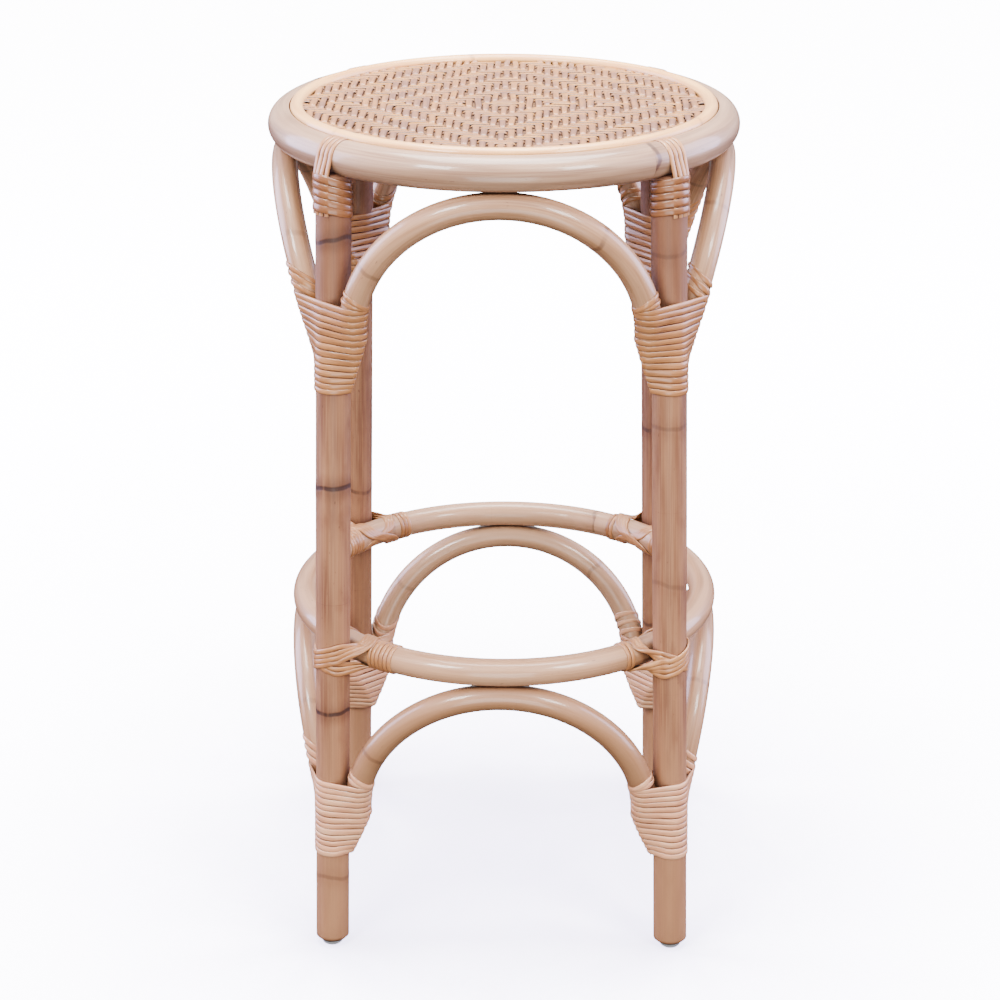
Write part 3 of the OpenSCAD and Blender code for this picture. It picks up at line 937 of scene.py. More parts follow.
@dataclass
class BentRings:
    """The seat ring, its bezel and the footrest ring, each a pole bent round and scarfed at one joint."""

    seat: Ring
    bezel: Ring
    footrest: Ring
    seat_finish: bpy.types.Material
    bezel_finish: bpy.types.Material
    footrest_finish: bpy.types.Material
    step: float = 3 * MM
    groove_gap: float = 0.9 * MM

    def grooved(self, points: Array) -> Array:
        """Presses the seat ring's swept points out of the groove that the bezel lies in."""
        radial = np.hypot(points[..., 0], points[..., 1])
        reach = self.bezel.pole + self.groove_gap
        beside = radial - self.bezel.radius
        floor = self.bezel.height - np.sqrt(np.maximum(reach**2 - beside**2, 0))
        inside = (np.abs(beside) < reach) & (points[..., 2] > self.bezel.height - reach)
        z = np.where(inside, np.minimum(points[..., 2], floor), points[..., 2])
        return np.stack([points[..., 0], points[..., 1], z], -1)

    def build(self) -> None:
        """Makes and dresses the three rings."""
        self._ring("seat_ring", self.seat, self.seat_finish, Slot.SEAT_RING, -52,
                   ((0, 0.6), (80, 0.2), (191, 0.7), (203, 0.8)), 80, 200, self.grooved)
        self._ring("seat_bezel", self.bezel, self.bezel_finish, Slot.BEZEL, 100,
                   ((0, 0.3), (120, 0.15), (235, 0.2)), 24, 201)
        # The footrest ring is paler at the back and in front: painted light from above
        self._ring("footrest_ring", self.footrest, self.footrest_finish, Slot.FOOTREST, 60,
                   ((0, 0.4), (70, 0.25), (160, 0.3), (250, 0.2)), 36, 202, tones=(0.45, 1.0, 0.5, 0.75))

    def _ring(self, node: str, ring: Ring, finish: bpy.types.Material, slot: Slot, joint: float,
              scars: Scars, sides: int, seed: int, shape: Callable[[Array], Array] | None = None,
              tones: tuple[float, ...] = (0.6, 0.5, 0.6, 0.5)) -> None:
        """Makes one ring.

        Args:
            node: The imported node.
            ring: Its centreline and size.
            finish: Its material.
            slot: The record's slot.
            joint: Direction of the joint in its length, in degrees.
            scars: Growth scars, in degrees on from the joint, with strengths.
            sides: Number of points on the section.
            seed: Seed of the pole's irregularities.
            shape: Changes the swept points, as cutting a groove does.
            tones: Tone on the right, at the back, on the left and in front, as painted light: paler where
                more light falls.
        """
        count = int(2 * math.pi * ring.radius / self.step)
        angle = math.radians(joint) + np.arange(count) * 2 * math.pi / count
        places = [(math.radians(turn) * ring.radius, strength) for turn, strength in scars]
        pole = natural_pole(ring.at(angle), np.array([0, 0, 1.0]), ring.pole, places,
                            np.random.default_rng(seed), True, sides)
        # Painted light: the tone changes round the ring, paler where more light falls
        pole.tone = np.interp(angle % (4 * QUARTER), np.arange(5) * QUARTER, (*tones, tones[0]))
        pole_piece(node, pole, finish, slot, shape)


@dataclass
class ArchTier:
    """Four arches of one tier."""

    tier: str
    line: ArchLine
    finish: bpy.types.Material
    seed: int
    # Growth scars of each side's arch, as distance along it and strength, in the order of the sides
    scars: tuple[Scars, ...]
    # Shade of each side's arch
    tones: tuple[float, ...] = (0.45, 0.6, 0.6, 0.6)

    def build(self) -> None:
        """Makes and dresses the arches."""
        for side, name in enumerate(SIDES):
            rng = np.random.default_rng(self.seed + side)
            pole = natural_pole(self.line.centreline(), self.line.square(), self.line.pole,
                                self.scars[side], rng, sides=32)
            pole.tone = self.tones[side]
            pole_piece(f"{self.tier}_arch_{name}", pole, self.finish, Slot.ARCH,
                       lambda points, turns=side: turned(self.line.whittled(points), turns))


@dataclass
class SeatRails:
    """Two pole rails across the ring, under the panel."""

    ring: Ring
    finish: bpy.types.Material
    step: float = 4 * MM

    def build(self) -> None:
        """Makes and dresses the rails."""
        for k, name in enumerate(("left", "right")):
            low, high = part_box(f"seat_rail_{name}")
            pole = (high.x - low.x) / 2
            y = np.arange(low.y, high.y, self.step)
            middle = (low + high) / 2
            path = np.column_stack([np.full_like(y, middle.x), y, np.full_like(y, middle.z)])
            sweep = natural_pole(path, np.array([0, 0, 1.0]), pole, ((0.06, 0.4), (0.24, 0.5)),
                                 np.random.default_rng(300 + k), sides=32)
            pole_piece(f"seat_rail_{name}", sweep, self.finish, Slot.RAIL)


# ---- Woven seat ----


@dataclass
class WovenSeat:
    """The mat of flat cane strips, woven over three and under three into nested diamonds."""

    bezel: Ring
    finish: bpy.types.Material
    pitch: float = 7.5 * MM
    strip_w: float = 6.0 * MM
    crown: float = 0.6 * MM
    hump: float = 1.4 * MM
    root: float = 0.35 * MM
    lift: float = 1.0 * MM
    reach: int = 3
    per_cell: int = 6
    # How far a strip wanders along its length, and lies beside its place
    wander: float = 0.7 * MM
    stray: float = 0.5 * MM
    # Part of the way between two crossings over which a strip climbs or dives
    climb: float = 0.5
    # How far a strip's ends reach in under the bezel, and how clear of it the last strip stays
    tucked: float = 1.5 * MM
    spare: float = 2 * MM
    # How strips differ in width, how one varies along its length, and the shades of each way of the weave
    widths: tuple[float, float] = (-0.12, 0.06)
    uneven: float = 0.05
    mottled: float = 0.2
    shades_x: tuple[float, float] = (0.5, 1.0)
    shades_y: tuple[float, float] = (0.0, 0.5)

    def over(self, i: Array, j: Array) -> Array:
        """Returns whether the strip along X lies on top where it crosses the strip along Y."""
        return (np.abs(i) + np.abs(j)) % (2 * self.reach) < self.reach

    def strip(self, index: int, along_x: bool, z: float, rng: np.random.Generator) -> Sweep:
        """Shapes one strip.

        Args:
            index: Its number from the middle.
            along_x: Whether it runs along X or along Y.
            z: Height of the mat's middle.
            rng: Source of its irregularities.

        Returns:
            The strip.
        """
        edge = self.bezel.radius - self.bezel.pole + self.tucked
        half = math.sqrt(edge**2 - (index * self.pitch) ** 2)
        count = max(8, int(2 * half / self.pitch * self.per_cell))
        run = np.linspace(-half, half, count)
        cells = run / self.pitch
        before = np.floor(cells)
        part = (cells - before - 0.5) / self.climb + 0.5
        heights = []
        for crossing in (before, before + 1):
            on_top = self.over(crossing, index)
            heights.append(np.where(on_top == along_x, self.lift, -self.lift))
        height = heights[0] + (heights[1] - heights[0]) * eased(part)
        sway = self.wander * smooth_noise(count, max(3, int(count / 18)), rng)
        place = index * self.pitch + sway + self.stray * rng.uniform(-1, 1)
        level = z + height
        path = np.stack([run, place, level] if along_x else [place, run, level], 1)
        width = 1 + rng.uniform(*self.widths)
        width = width + self.uneven * smooth_noise(count, max(3, int(count / 30)), rng)
        tone = rng.uniform(*(self.shades_x if along_x else self.shades_y))
        tone = tone + self.mottled * smooth_noise(count, max(3, int(count / 12)), rng)
        crown = self.crown if along_x else self.hump
        return Sweep(path, np.array([0, 0, 1.0]), cane_section(self.strip_w, crown, self.root),
                     swell=widened(width, count), tone=tone)

    def build(self) -> None:
        """Makes and dresses the mat."""
        rng = np.random.default_rng(400)
        _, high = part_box("seat_weave")
        z = high.z - self.hump - self.lift
        last = int((self.bezel.radius - self.bezel.pole - self.spare) / self.pitch)
        maker = MeshMaker()
        for index in range(-last, last + 1):
            for along_x in (True, False):
                maker.add(self.strip(index, along_x, z, rng))
        maker.piece("seat_weave_mat", self.finish, Slot.WEAVE, "seat_weave")


# ---- Bindings ----


@dataclass
class WoundSurface:
    """A stack of closed level outlines, round which cane is wound."""

    heights: Array
    rings: Array

    @classmethod
    def stacked(cls, outline: Callable[[float], Array], legs: "LegLine", low: float, high: float,
                count: int = 120, step: float = 2 * MM) -> "WoundSurface":
        """Stacks outlines, each started on the leg's inner side.

        Args:
            outline: Gives the outline's points at a height round the front right leg, anticlockwise.
            legs: The legs.
            low: Height of the lowest outline.
            high: Height of the highest one.
            count: Number of evenly spaced points kept on each.
            step: Height between two outlines.

        Returns:
            The surface.
        """
        heights = np.linspace(low, high, max(2, int((high - low) / step)))
        rings = []
        for z in heights:
            flat = outline(z)
            a = float(legs.offset(z))
            offset = flat - [a, -a]
            # Angle on from the inner side, from 0 to a full turn
            angle = (np.arctan2(offset[:, 1], offset[:, 0]) - 3 * math.pi / 4) % (2 * math.pi)
            flat = flat[np.argsort(angle)]
            angle = np.sort(angle)
            part = angle[0] / (angle[0] + 2 * math.pi - angle[-1])
            start = flat[:1] + (flat[-1:] - flat[:1]) * part
            loop = np.vstack([start, flat, start])
            run = np.concatenate([[0], np.cumsum(np.linalg.norm(np.diff(loop, axis=0), axis=1))])
            places = np.linspace(0, run[-1], count, endpoint=False)
            rings.append(np.stack([np.interp(places, run, loop[:, 0]), np.interp(places, run, loop[:, 1]),
                                   np.full(count, z)], 1))
        return cls(heights, np.array(rings))

    def at(self, turn: Array, z: Array) -> tuple[Array, Array]:
        """Finds places on the surface.

        Args:
            turn: How many times round each place is.
            z: Its height.

        Returns:
            The points, and the directions out of the surface there.
        """
        levels, count = self.rings.shape[:2]
        row = np.interp(z, self.heights, np.arange(levels))
        r0 = np.minimum(row.astype(int), levels - 2)
        rp = (row - r0)[:, None]
        col = (turn % 1) * count
        c0 = col.astype(int) % count
        c1 = (c0 + 1) % count
        cp = (col - np.floor(col))[:, None]
        low = self.rings[r0, c0] * (1 - cp) + self.rings[r0, c1] * cp
        high = self.rings[r0 + 1, c0] * (1 - cp) + self.rings[r0 + 1, c1] * cp
        back = self.rings[r0, (c0 - 1) % count]
        ahead = self.rings[r0, (c1 + 1) % count]
        point = low * (1 - rp) + high * rp
        point[:, 2] = z
        return point, unit(np.cross(ahead - back, high - low))


@dataclass(frozen=True)
class Cane:
    """A strand of split cane: its width, its crown height and how it varies by hand."""

    width: float = 5.5 * MM
    crown: float = 1.15 * MM
    bed: float = 0.1 * MM
    samples: int = 72
    # How turns differ: in pitch, in shade, in how they waver on and off the surface, and in tilt
    uneven: float = 0.14
    mottled: float = 0.16
    waver: float = 0.22 * MM
    tilt: float = 0.10
    # Share of the pitch that a strand fills
    cover: float = 0.95
    # Part of a turn over which an end is tucked in, and how deep it goes
    tuck_part: float = 0.12
    tuck: float = 0.6 * MM

    def wind(self, surface: WoundSurface, top: float, bottom: float, turns: int, pale: float,
             rng: np.random.Generator) -> Sweep:
        """Winds one strand down a surface.

        Args:
            surface: What it is wound round.
            top: Height of the first turn's upper edge.
            bottom: Height of the last turn's lower edge.
            turns: Number of turns.
            pale: Shade of the strand, 0 to 1.
            rng: Source of its irregularities.

        Returns:
            The strand.
        """
        share = 1 + rng.uniform(-self.uneven, self.uneven, turns)
        edges = np.concatenate([[0], np.cumsum(share)])
        edges = top - edges / edges[-1] * (top - bottom)
        middles = (edges[:-1] + edges[1:]) / 2
        count = turns * self.samples
        turn = np.linspace(0, turns, count)
        z = np.interp(turn, np.arange(turns) + 0.5, middles)
        z = z + self.waver * smooth_noise(count, turns * 7, rng)
        point, out = surface.at(turn, z)
        ends = np.minimum(turn, turns - turn)
        sink = (1 - eased(ends / self.tuck_part)) * (self.crown + self.tuck)
        lift = self.bed + self.waver * np.abs(smooth_noise(count, turns * 3, rng)) - sink
        tilt = self.tilt * smooth_noise(count, turns * 4, rng)[:, None]
        halfway = np.arange(turns) + 0.5
        width = np.interp(turn, halfway, share) * (top - bottom) / turns / self.width * self.cover
        tone = pale + self.mottled * np.interp(turn, halfway, rng.uniform(-1, 1, turns))
        return Sweep(point + out * lift[:, None], out + tilt * np.array([0, 0, 1.0]),
                     cane_section(self.width, self.crown), tone=tone, swell=widened(width, count))

    def loop(self, centre: Array, up: Array, pale: float, width: float = 1.0) -> Sweep:
        """Returns a closed turn of cane along centre, with its skin towards up."""
        return Sweep(centre + unit(up) * self.bed, up, cane_section(self.width, self.crown), True, tone=pale,
                     swell=widened(width, len(centre)))


def circle(centre: Array, radius: float, count: int = 48) -> Array:
    """Returns points on a level circle."""
    angle = np.arange(count) * 2 * math.pi / count
    return centre + radius * np.stack([np.cos(angle), np.sin(angle)], 1)


def hull_of(points: Array) -> Array:
    """Returns the points of the convex outline, anticlockwise."""
    order = convex_hull_2d([tuple(p) for p in points])
    hull = points[order]
    ahead = np.roll(hull, -1, 0)
    area = np.sum(hull[:, 0] * ahead[:, 1] - hull[:, 1] * ahead[:, 0])
    return hull if area > 0 else hull[::-1]


@dataclass
class ArchBindings:
    """Wound cane that gathers two arch ends onto each leg, in one tier."""

    tier: str
    arch: ArchLine
    finish: bpy.types.Material
    pale: float
    seed: int
    turns: int = 14
    # How much higher the wound cone ends than its packed shell
    foot_rise: float = 0.0
    cane: Cane = Cane()
    # Rise over the cone's top and slant of each tie, in mm: as a fan in the front's crotch, and elsewhere
    fan: Slants = ((1.0, 3.0), (3.5, 6.5))
    spread: Slants = ((-1.0, 7.5), (6.0, 8.0), (13.0, 8.5))
    # Where round the arch the ties that aren't a fan are highest, in degrees from the leg
    high_deg: float = 75.0
    tie_samples: int = 48

    def outline(self, z: float) -> Array:
        """Returns the outline round the front right leg and both arch ends at height z."""
        line, legs = self.arch, self.arch.legs
        a, out, side = float(legs.offset(z)), float(line.out(z)), float(line.side(z))
        leg = circle(np.array([a, -a]), legs.pole)
        face = float(line.scarf(np.array(z)))
        tip = circle(np.array([side, -out]), line.pole)
        tip[:, 0] = np.maximum(tip[:, 0], face)
        other = -tip[:, ::-1]
        return hull_of(np.vstack([leg, tip, other]))

    def ties(self, front: bool, mirrored: bool, rng: np.random.Generator) -> list[Sweep]:
        """Shapes the slanting turns round one arch end, over the front right leg.

        Args:
            front: Whether they lie close, as a fan in the crotch, or spread up the arch.
            mirrored: Whether the end is the one on the leg's other side.
            rng: Source of their irregularities.

        Returns:
            The turns.
        """
        line = self.arch
        top = line.tip_z + line.wrap_rise
        count = self.tie_samples
        angle = np.arange(count) * 2 * math.pi / count
        slants = self.fan if front else self.spread
        # Turns in a crotch are highest beside the leg; the others wind one way round, whichever the end
        high = 0.0 if front else math.radians(-self.high_deg if mirrored else self.high_deg)
        ties = []
        for rise, slant in slants:
            rise = (rise + rng.uniform(-0.7, 0.7)) * MM
            z = top + rise + slant * MM * np.cos(angle - high) + 0.3 * MM * rng.uniform(-1, 1)
            x, y = line.side(z), -line.out(z)
            out = np.stack([np.cos(angle), -np.sin(angle), np.zeros(count)], 1)
            centre = np.stack([x, y, z], 1) + out * (line.pole + 0.1 * MM)
            if mirrored:
                centre, out = -centre[:, [1, 0, 2]] * [1, 1, -1], -out[:, [1, 0, 2]] * [1, 1, -1]
                centre, out = centre[::-1], out[::-1]
            width = rng.uniform(0.8, 0.98)
            ties.append(self.cane.loop(centre, out, self.pale + rng.uniform(-0.1, 0.2), width))
        return ties

    def build(self) -> None:
        """Makes and dresses the tier's bindings."""
        foot = self.arch.tip_z - self.arch.wrap_fall + self.foot_rise
        top = self.arch.tip_z + self.arch.wrap_rise
        surface = WoundSurface.stacked(self.outline, self.arch.legs, foot - 4 * MM, top + 4 * MM)
        for corner, name in enumerate(CORNERS):
            rng = np.random.default_rng(self.seed + corner)
            maker = MeshMaker()
            sweeps = [self.cane.wind(surface, top, foot, self.turns, self.pale, rng)]
            # The side that the first arch end belongs to is the corner's own, the second the next one
            sweeps += self.ties(corner == 0, False, rng) + self.ties(corner == 3, True, rng)
            maker.add_at(corner, sweeps)
            maker.piece(f"{self.tier}_binding_{name}_cane", self.finish, Slot.BINDING,
                        f"{self.tier}_binding_{name}")


@dataclass
class SeatBindings:
    """Cane straps over the seat ring at each leg, held by a wound collar under it."""

    ring: Ring
    bezel: Ring
    legs: LegLine
    finish: bpy.types.Material
    # The collar's dark tone is painted shade, as it lies under the ring
    pale: float = -0.1
    strap_pale: float = 0.6
    strands: int = 4
    strap_w: float = 19 * MM
    collar_drop: float = 1 * MM
    collar_h: float = 32 * MM
    # The collar's turns rise towards the outside, where the strap comes down
    collar_rise: float = 4.5 * MM
    turns: int = 5
    cane: Cane = Cane(width=5.6 * MM, crown=1.15 * MM)
    # Points of a strand over the ring, of its end along the leg, and of the whole once it is smooth
    over_count: int = 16
    down_count: int = 5
    samples: int = 60
    # Where round the ring's section a strand starts and leaves it, in degrees
    over_deg: tuple[float, float] = (98, 8)
    # How close the strands draw together in the collar, and how far they lift it off the leg
    drawn: float = 0.9
    strap_bed: float = 0.9 * MM
    # How far a strand's end dips in beside the bezel
    dip: float = 0.6 * MM

    @property
    def collar_top(self) -> float:
        """Returns the height of the collar's upper edge."""
        return self.ring.height - self.ring.pole - self.collar_drop

    @property
    def collar_foot(self) -> float:
        """Returns the height of the collar's lower edge."""
        return self.collar_top - self.collar_h

    def outline(self, z: float) -> Array:
        """Returns the outline of the leg with the strap's ends laid on its outer side."""
        a = float(self.legs.offset(z))
        ring = circle(np.array([a, -a]), 1.0, 96)
        out = ring - [a, -a]
        facing = (out[:, 0] - out[:, 1]) / math.sqrt(2)
        under_strap = self.strap_bed * eased((facing - 0.6) / 0.25)
        return [a, -a] + out * (self.legs.pole + under_strap)[:, None]

    def strand(self, k: int, rng: np.random.Generator) -> Sweep:
        """Shapes one strand of the strap at the front right leg, from the bezel down to the collar's foot."""
        pitch = self.strap_w / self.strands
        shift = (k - (self.strands - 1) / 2) * pitch
        over = np.radians(np.linspace(*self.over_deg, self.over_count))
        rho = self.ring.radius + self.ring.pole * np.cos(over)
        z = self.ring.height + self.ring.pole * np.sin(over)
        down = np.linspace(self.collar_top + 3 * MM, self.collar_foot + 2 * MM, self.down_count)
        # The strands draw together where the collar holds them
        lean = shift * np.concatenate([np.full(self.over_count, 1.0), np.full(self.down_count, self.drawn)])
        bow = np.sqrt(np.maximum(self.legs.pole**2 - (self.drawn * shift) ** 2, 0))
        rho = np.concatenate([rho, self.legs.radius(down) + bow])
        z = np.concatenate([z, down])
        rho[0] -= self.dip
        angle = -math.pi / 4 + lean / self.ring.radius
        rows = np.stack([rho * np.cos(angle), rho * np.sin(angle), z], 1)
        path = through(rows, self.samples, False)
        run = np.gradient(path, axis=0)
        around = np.array([[-math.sin(angle[0]), math.cos(angle[0]), 0.0]])
        up = np.cross(around, run)
        up = up * np.sign(np.sum(up * (path - [0, 0, self.ring.height - 40 * MM]), axis=1, keepdims=True))
        width = pitch / self.cane.width * rng.uniform(0.93, 1.0)
        return Sweep(path, up, cane_section(self.cane.width, self.cane.crown),
                     swell=widened(width, self.samples),
                     tone=self.strap_pale + rng.uniform(-0.2, 0.3))

    def build(self) -> None:
        """Makes and dresses the straps and collars."""
        surface = WoundSurface.stacked(self.outline, self.legs, self.collar_foot - 3 * MM,
                                       self.collar_top + 3 * MM)
        for corner, name in enumerate(CORNERS):
            rng = np.random.default_rng(500 + corner)
            maker = MeshMaker()
            sweeps = [self.strand(k, rng) for k in range(self.strands)]
            collar = self.cane.wind(surface, self.collar_top, self.collar_foot, self.turns, self.pale, rng)
            x, y, z = collar.path.T
            outward = (x - y) / math.sqrt(2) - self.legs.radius(z)
            collar.path[:, 2] = z + self.collar_rise * outward / self.legs.pole
            sweeps.append(collar)
            maker.add_at(corner, sweeps)
            maker.piece(f"seat_binding_{name}_cane", self.finish, Slot.BINDING, f"seat_binding_{name}")


@dataclass
class FootrestBindings:
    """Crossed cane lashings that tie the footrest ring to each leg, with turns on the ring beside them."""

    ring: Ring
    legs: LegLine
    finish: bpy.types.Material
    pale: float = 0.5
    strands: int = 4
    pitch: float = 4.6 * MM
    cane: Cane = Cane(width=4.8 * MM, crown=1.2 * MM)
    # Number of turns on the ring to the right and to the left of each leg, seen from outside
    ring_turns: tuple[tuple[int, int], ...] = ((3, 2), (2, 5), (5, 3), (6, 3))
    ring_pitch: float = 4.1 * MM
    # Height of a layer of cane, a loop's rise round the leg's outer side, and the loops' fan on the ring
    layer_h: float = 0.9 * MM
    rise: float = 6.5 * MM
    fan: float = 3.6 * MM
    samples: int = 110
    # How far past the leg the first turn on the ring lies, and over what distance a strand rolls from
    # the leg's surface onto the ring's
    ring_start: float = 13 * MM
    roll: float = 1.5 * MM

    def placed(self, rows: Array) -> Array:
        """Turns rows of (out, right, up) at the front right leg into the stool's own axes."""
        out, right = np.array([1, -1, 0]) / math.sqrt(2), np.array([1, 1, 0]) / math.sqrt(2)
        return (rows[:, 0:1] * out + rows[:, 1:2] * right
                + (rows[:, 2:3] + self.ring.height) * np.array([0, 0, 1.0]))

    def lash(self, k: int, rising: bool, layer: int, rng: np.random.Generator) -> Sweep:
        """Shapes one loop that runs round the leg's outer side and crosses the ring above and below.

        Args:
            k: Its number, from the lowest on the leg.
            rising: Whether it rises or falls to the right on the leg's outer side.
            layer: How many layers of cane lie under it.
            rng: Source of its irregularities.

        Returns:
            The loop.
        """
        leg = float(self.legs.radius(self.ring.height))
        bed = layer * self.layer_h
        spread = self.strands - 1
        level = (k - spread / 2) * self.pitch
        r_leg, r_ring = self.legs.pole + bed, self.ring.pole + bed
        rows = []
        for turn in np.radians((-75, -40, 0, 40, 75)):
            sine = math.sin(turn)
            rows.append((leg + r_leg * math.cos(turn), r_leg * sine, level + self.rise * sine))
        far, near = (spread - k) * self.fan, k * self.fan
        ring = self.ring.radius
        # Over the ring on one side of the leg, behind it, and under it on the other side
        rows += [(ring + 0.72 * r_ring, r_leg + 1.0 * MM + far, 0.74 * r_ring),
                 (ring - 0.1 * r_ring, r_leg - 1.5 * MM + far, r_ring),
                 (ring - 0.9 * r_ring, 7 * MM + far, 0.45 * r_ring),
                 (ring - 1.02 * r_ring, (far - near) / 2, 0.0),
                 (ring - 0.9 * r_ring, -7 * MM - near, -0.45 * r_ring),
                 (ring - 0.1 * r_ring, -r_leg + 1.5 * MM - near, -r_ring),
                 (ring + 0.72 * r_ring, -r_leg - 1.0 * MM - near, -0.74 * r_ring)]
        rows = np.array(rows)
        if not rising:
            rows = rows * [1, 1, -1]
            rows[:5, 2] += 2 * level
        rows[:, 2] += rng.uniform(-0.4, 0.4) * MM
        path = through(rows, self.samples, True)
        path, up = self.settled(path, r_leg, r_ring)
        width = self.pitch / self.cane.width * rng.uniform(0.92, 1.02)
        return self.cane.loop(self.placed(path), self.placed(up) - self.placed(np.zeros((1, 3))),
                              self.pale + rng.uniform(-0.2, 0.3), width)

    def settled(self, path: Array, r_leg: float, r_ring: float) -> tuple[Array, Array]:
        """Presses a loop onto the leg and the ring.

        Args:
            path: Rows of (out, right, up).
            r_leg: Least distance from the leg's axis.
            r_ring: Least distance from the ring's centreline.

        Returns:
            The settled rows, and the directions out of the surface under them.
        """
        leg = float(self.legs.radius(self.ring.height))
        for _ in range(6):
            from_leg = path - [leg, 0, 0]
            from_leg[:, 2] = 0
            radial = np.hypot(path[:, 0], path[:, 1])
            on_ring = np.stack([path[:, 0] / radial, path[:, 1] / radial], 1) * self.ring.radius
            from_ring = np.column_stack([path[:, :2] - on_ring, path[:, 2]])
            d_leg = np.linalg.norm(from_leg, axis=1) - r_leg
            d_ring = np.linalg.norm(from_ring, axis=1) - r_ring
            path = path + unit(from_leg) * np.maximum(-d_leg, 0)[:, None]
            path = path + unit(from_ring) * np.maximum(-d_ring, 0)[:, None]
        near_leg = 1 / (np.maximum(d_leg, 0) + self.roll) ** 2
        near_ring = 1 / (np.maximum(d_ring, 0) + self.roll) ** 2
        up = unit(from_leg) * near_leg[:, None] + unit(from_ring) * near_ring[:, None]
        for _ in range(4):
            up = unit(up + np.roll(up, 1, 0) + np.roll(up, -1, 0))
        return path, up

    def ring_turn(self, angle: float, rng: np.random.Generator) -> Sweep:
        """Shapes one turn round the ring at an angle about the stool's axis, for the front right leg."""
        count = 40
        turn = np.arange(count) * 2 * math.pi / count
        slip = rng.uniform(-0.12, 0.12) * np.sin(turn) * self.ring_pitch / self.ring.radius
        where = angle + slip
        radial = np.stack([np.cos(where), np.sin(where), np.zeros(count)], 1)
        up = radial * np.cos(turn)[:, None] + np.array([0, 0, 1.0]) * np.sin(turn)[:, None]
        centre = radial * self.ring.radius + np.array([0, 0, self.ring.height]) + up * self.ring.pole
        width = self.ring_pitch / self.cane.width * rng.uniform(0.9, 1.03)
        return self.cane.loop(centre, up, self.pale + rng.uniform(-0.15, 0.3), width)

    def build(self) -> None:
        """Makes and dresses the lashings."""
        beside = math.atan2(self.legs.pole + self.ring_start, self.ring.radius)
        for corner, name in enumerate(CORNERS):
            rng = np.random.default_rng(600 + corner)
            sweeps = [self.lash(k, False, 0, rng) for k in range(self.strands - 1)]
            sweeps += [self.lash(k, True, 1, rng) for k in range(self.strands)]
            for way, turns in zip((1, -1), self.ring_turns[corner]):
                for k in range(turns):
                    angle = -math.pi / 4 + way * (beside + k * self.ring_pitch / self.ring.radius)
                    sweeps.append(self.ring_turn(angle, rng))
            node = f"footrest_binding_{name}"
            maker = MeshMaker()
            maker.add_at(corner, sweeps)
            maker.piece(f"{node}_cane", self.finish, Slot.BINDING, node)


# ---- Carried-over pieces ----


@dataclass
class Hardware:
    """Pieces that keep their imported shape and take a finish: panel, glides, screws and nails."""

    plywood: bpy.types.Material
    nylon: bpy.types.Material
    zinc: bpy.types.Material
    wire: bpy.types.Material

    def build(self) -> None:
        """Dresses the pieces."""
        finishes = {"seat_panel": self.plywood, "seat_screws": self.zinc, "footrest_screws": self.zinc,
                    "glide_nails": self.zinc}
        finishes.update({f"glide_{name}": self.nylon for name in CORNERS})
        wires = ("upper_arch_nails", "lower_arch_nails", "rail_nails", "panel_nails", "bezel_brads")
        finishes.update({name: self.wire for name in wires})
        for name, finish in finishes.items():
            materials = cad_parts[name].data.materials
            materials.clear()
            materials.append(finish)
            LOG.info("%s: %s", name, finish.name)


# ---- Studio ----


@dataclass
class Softbox:
    """A square studio light that faces a point on the stool's axis."""

    name: str
    place: tuple[float, float, float]
    size: float
    power: float
    aim_z: float = 0.45
    colour: str = "#ffffff"

    def build(self) -> None:
        """Makes the light."""
        data = bpy.data.lights.new(self.name, "AREA")
        data.size, data.energy, data.color = self.size, self.power, linear(self.colour)[:3]
        lamp = bpy.data.objects.new(self.name, data)
        lamp.location = self.place
        away = Vector(self.place) - Vector((0, 0, self.aim_z))
        lamp.rotation_euler = away.to_track_quat("Z", "Y").to_euler()
        lamp.visible_camera = False
        bpy.context.scene.collection.objects.link(lamp)


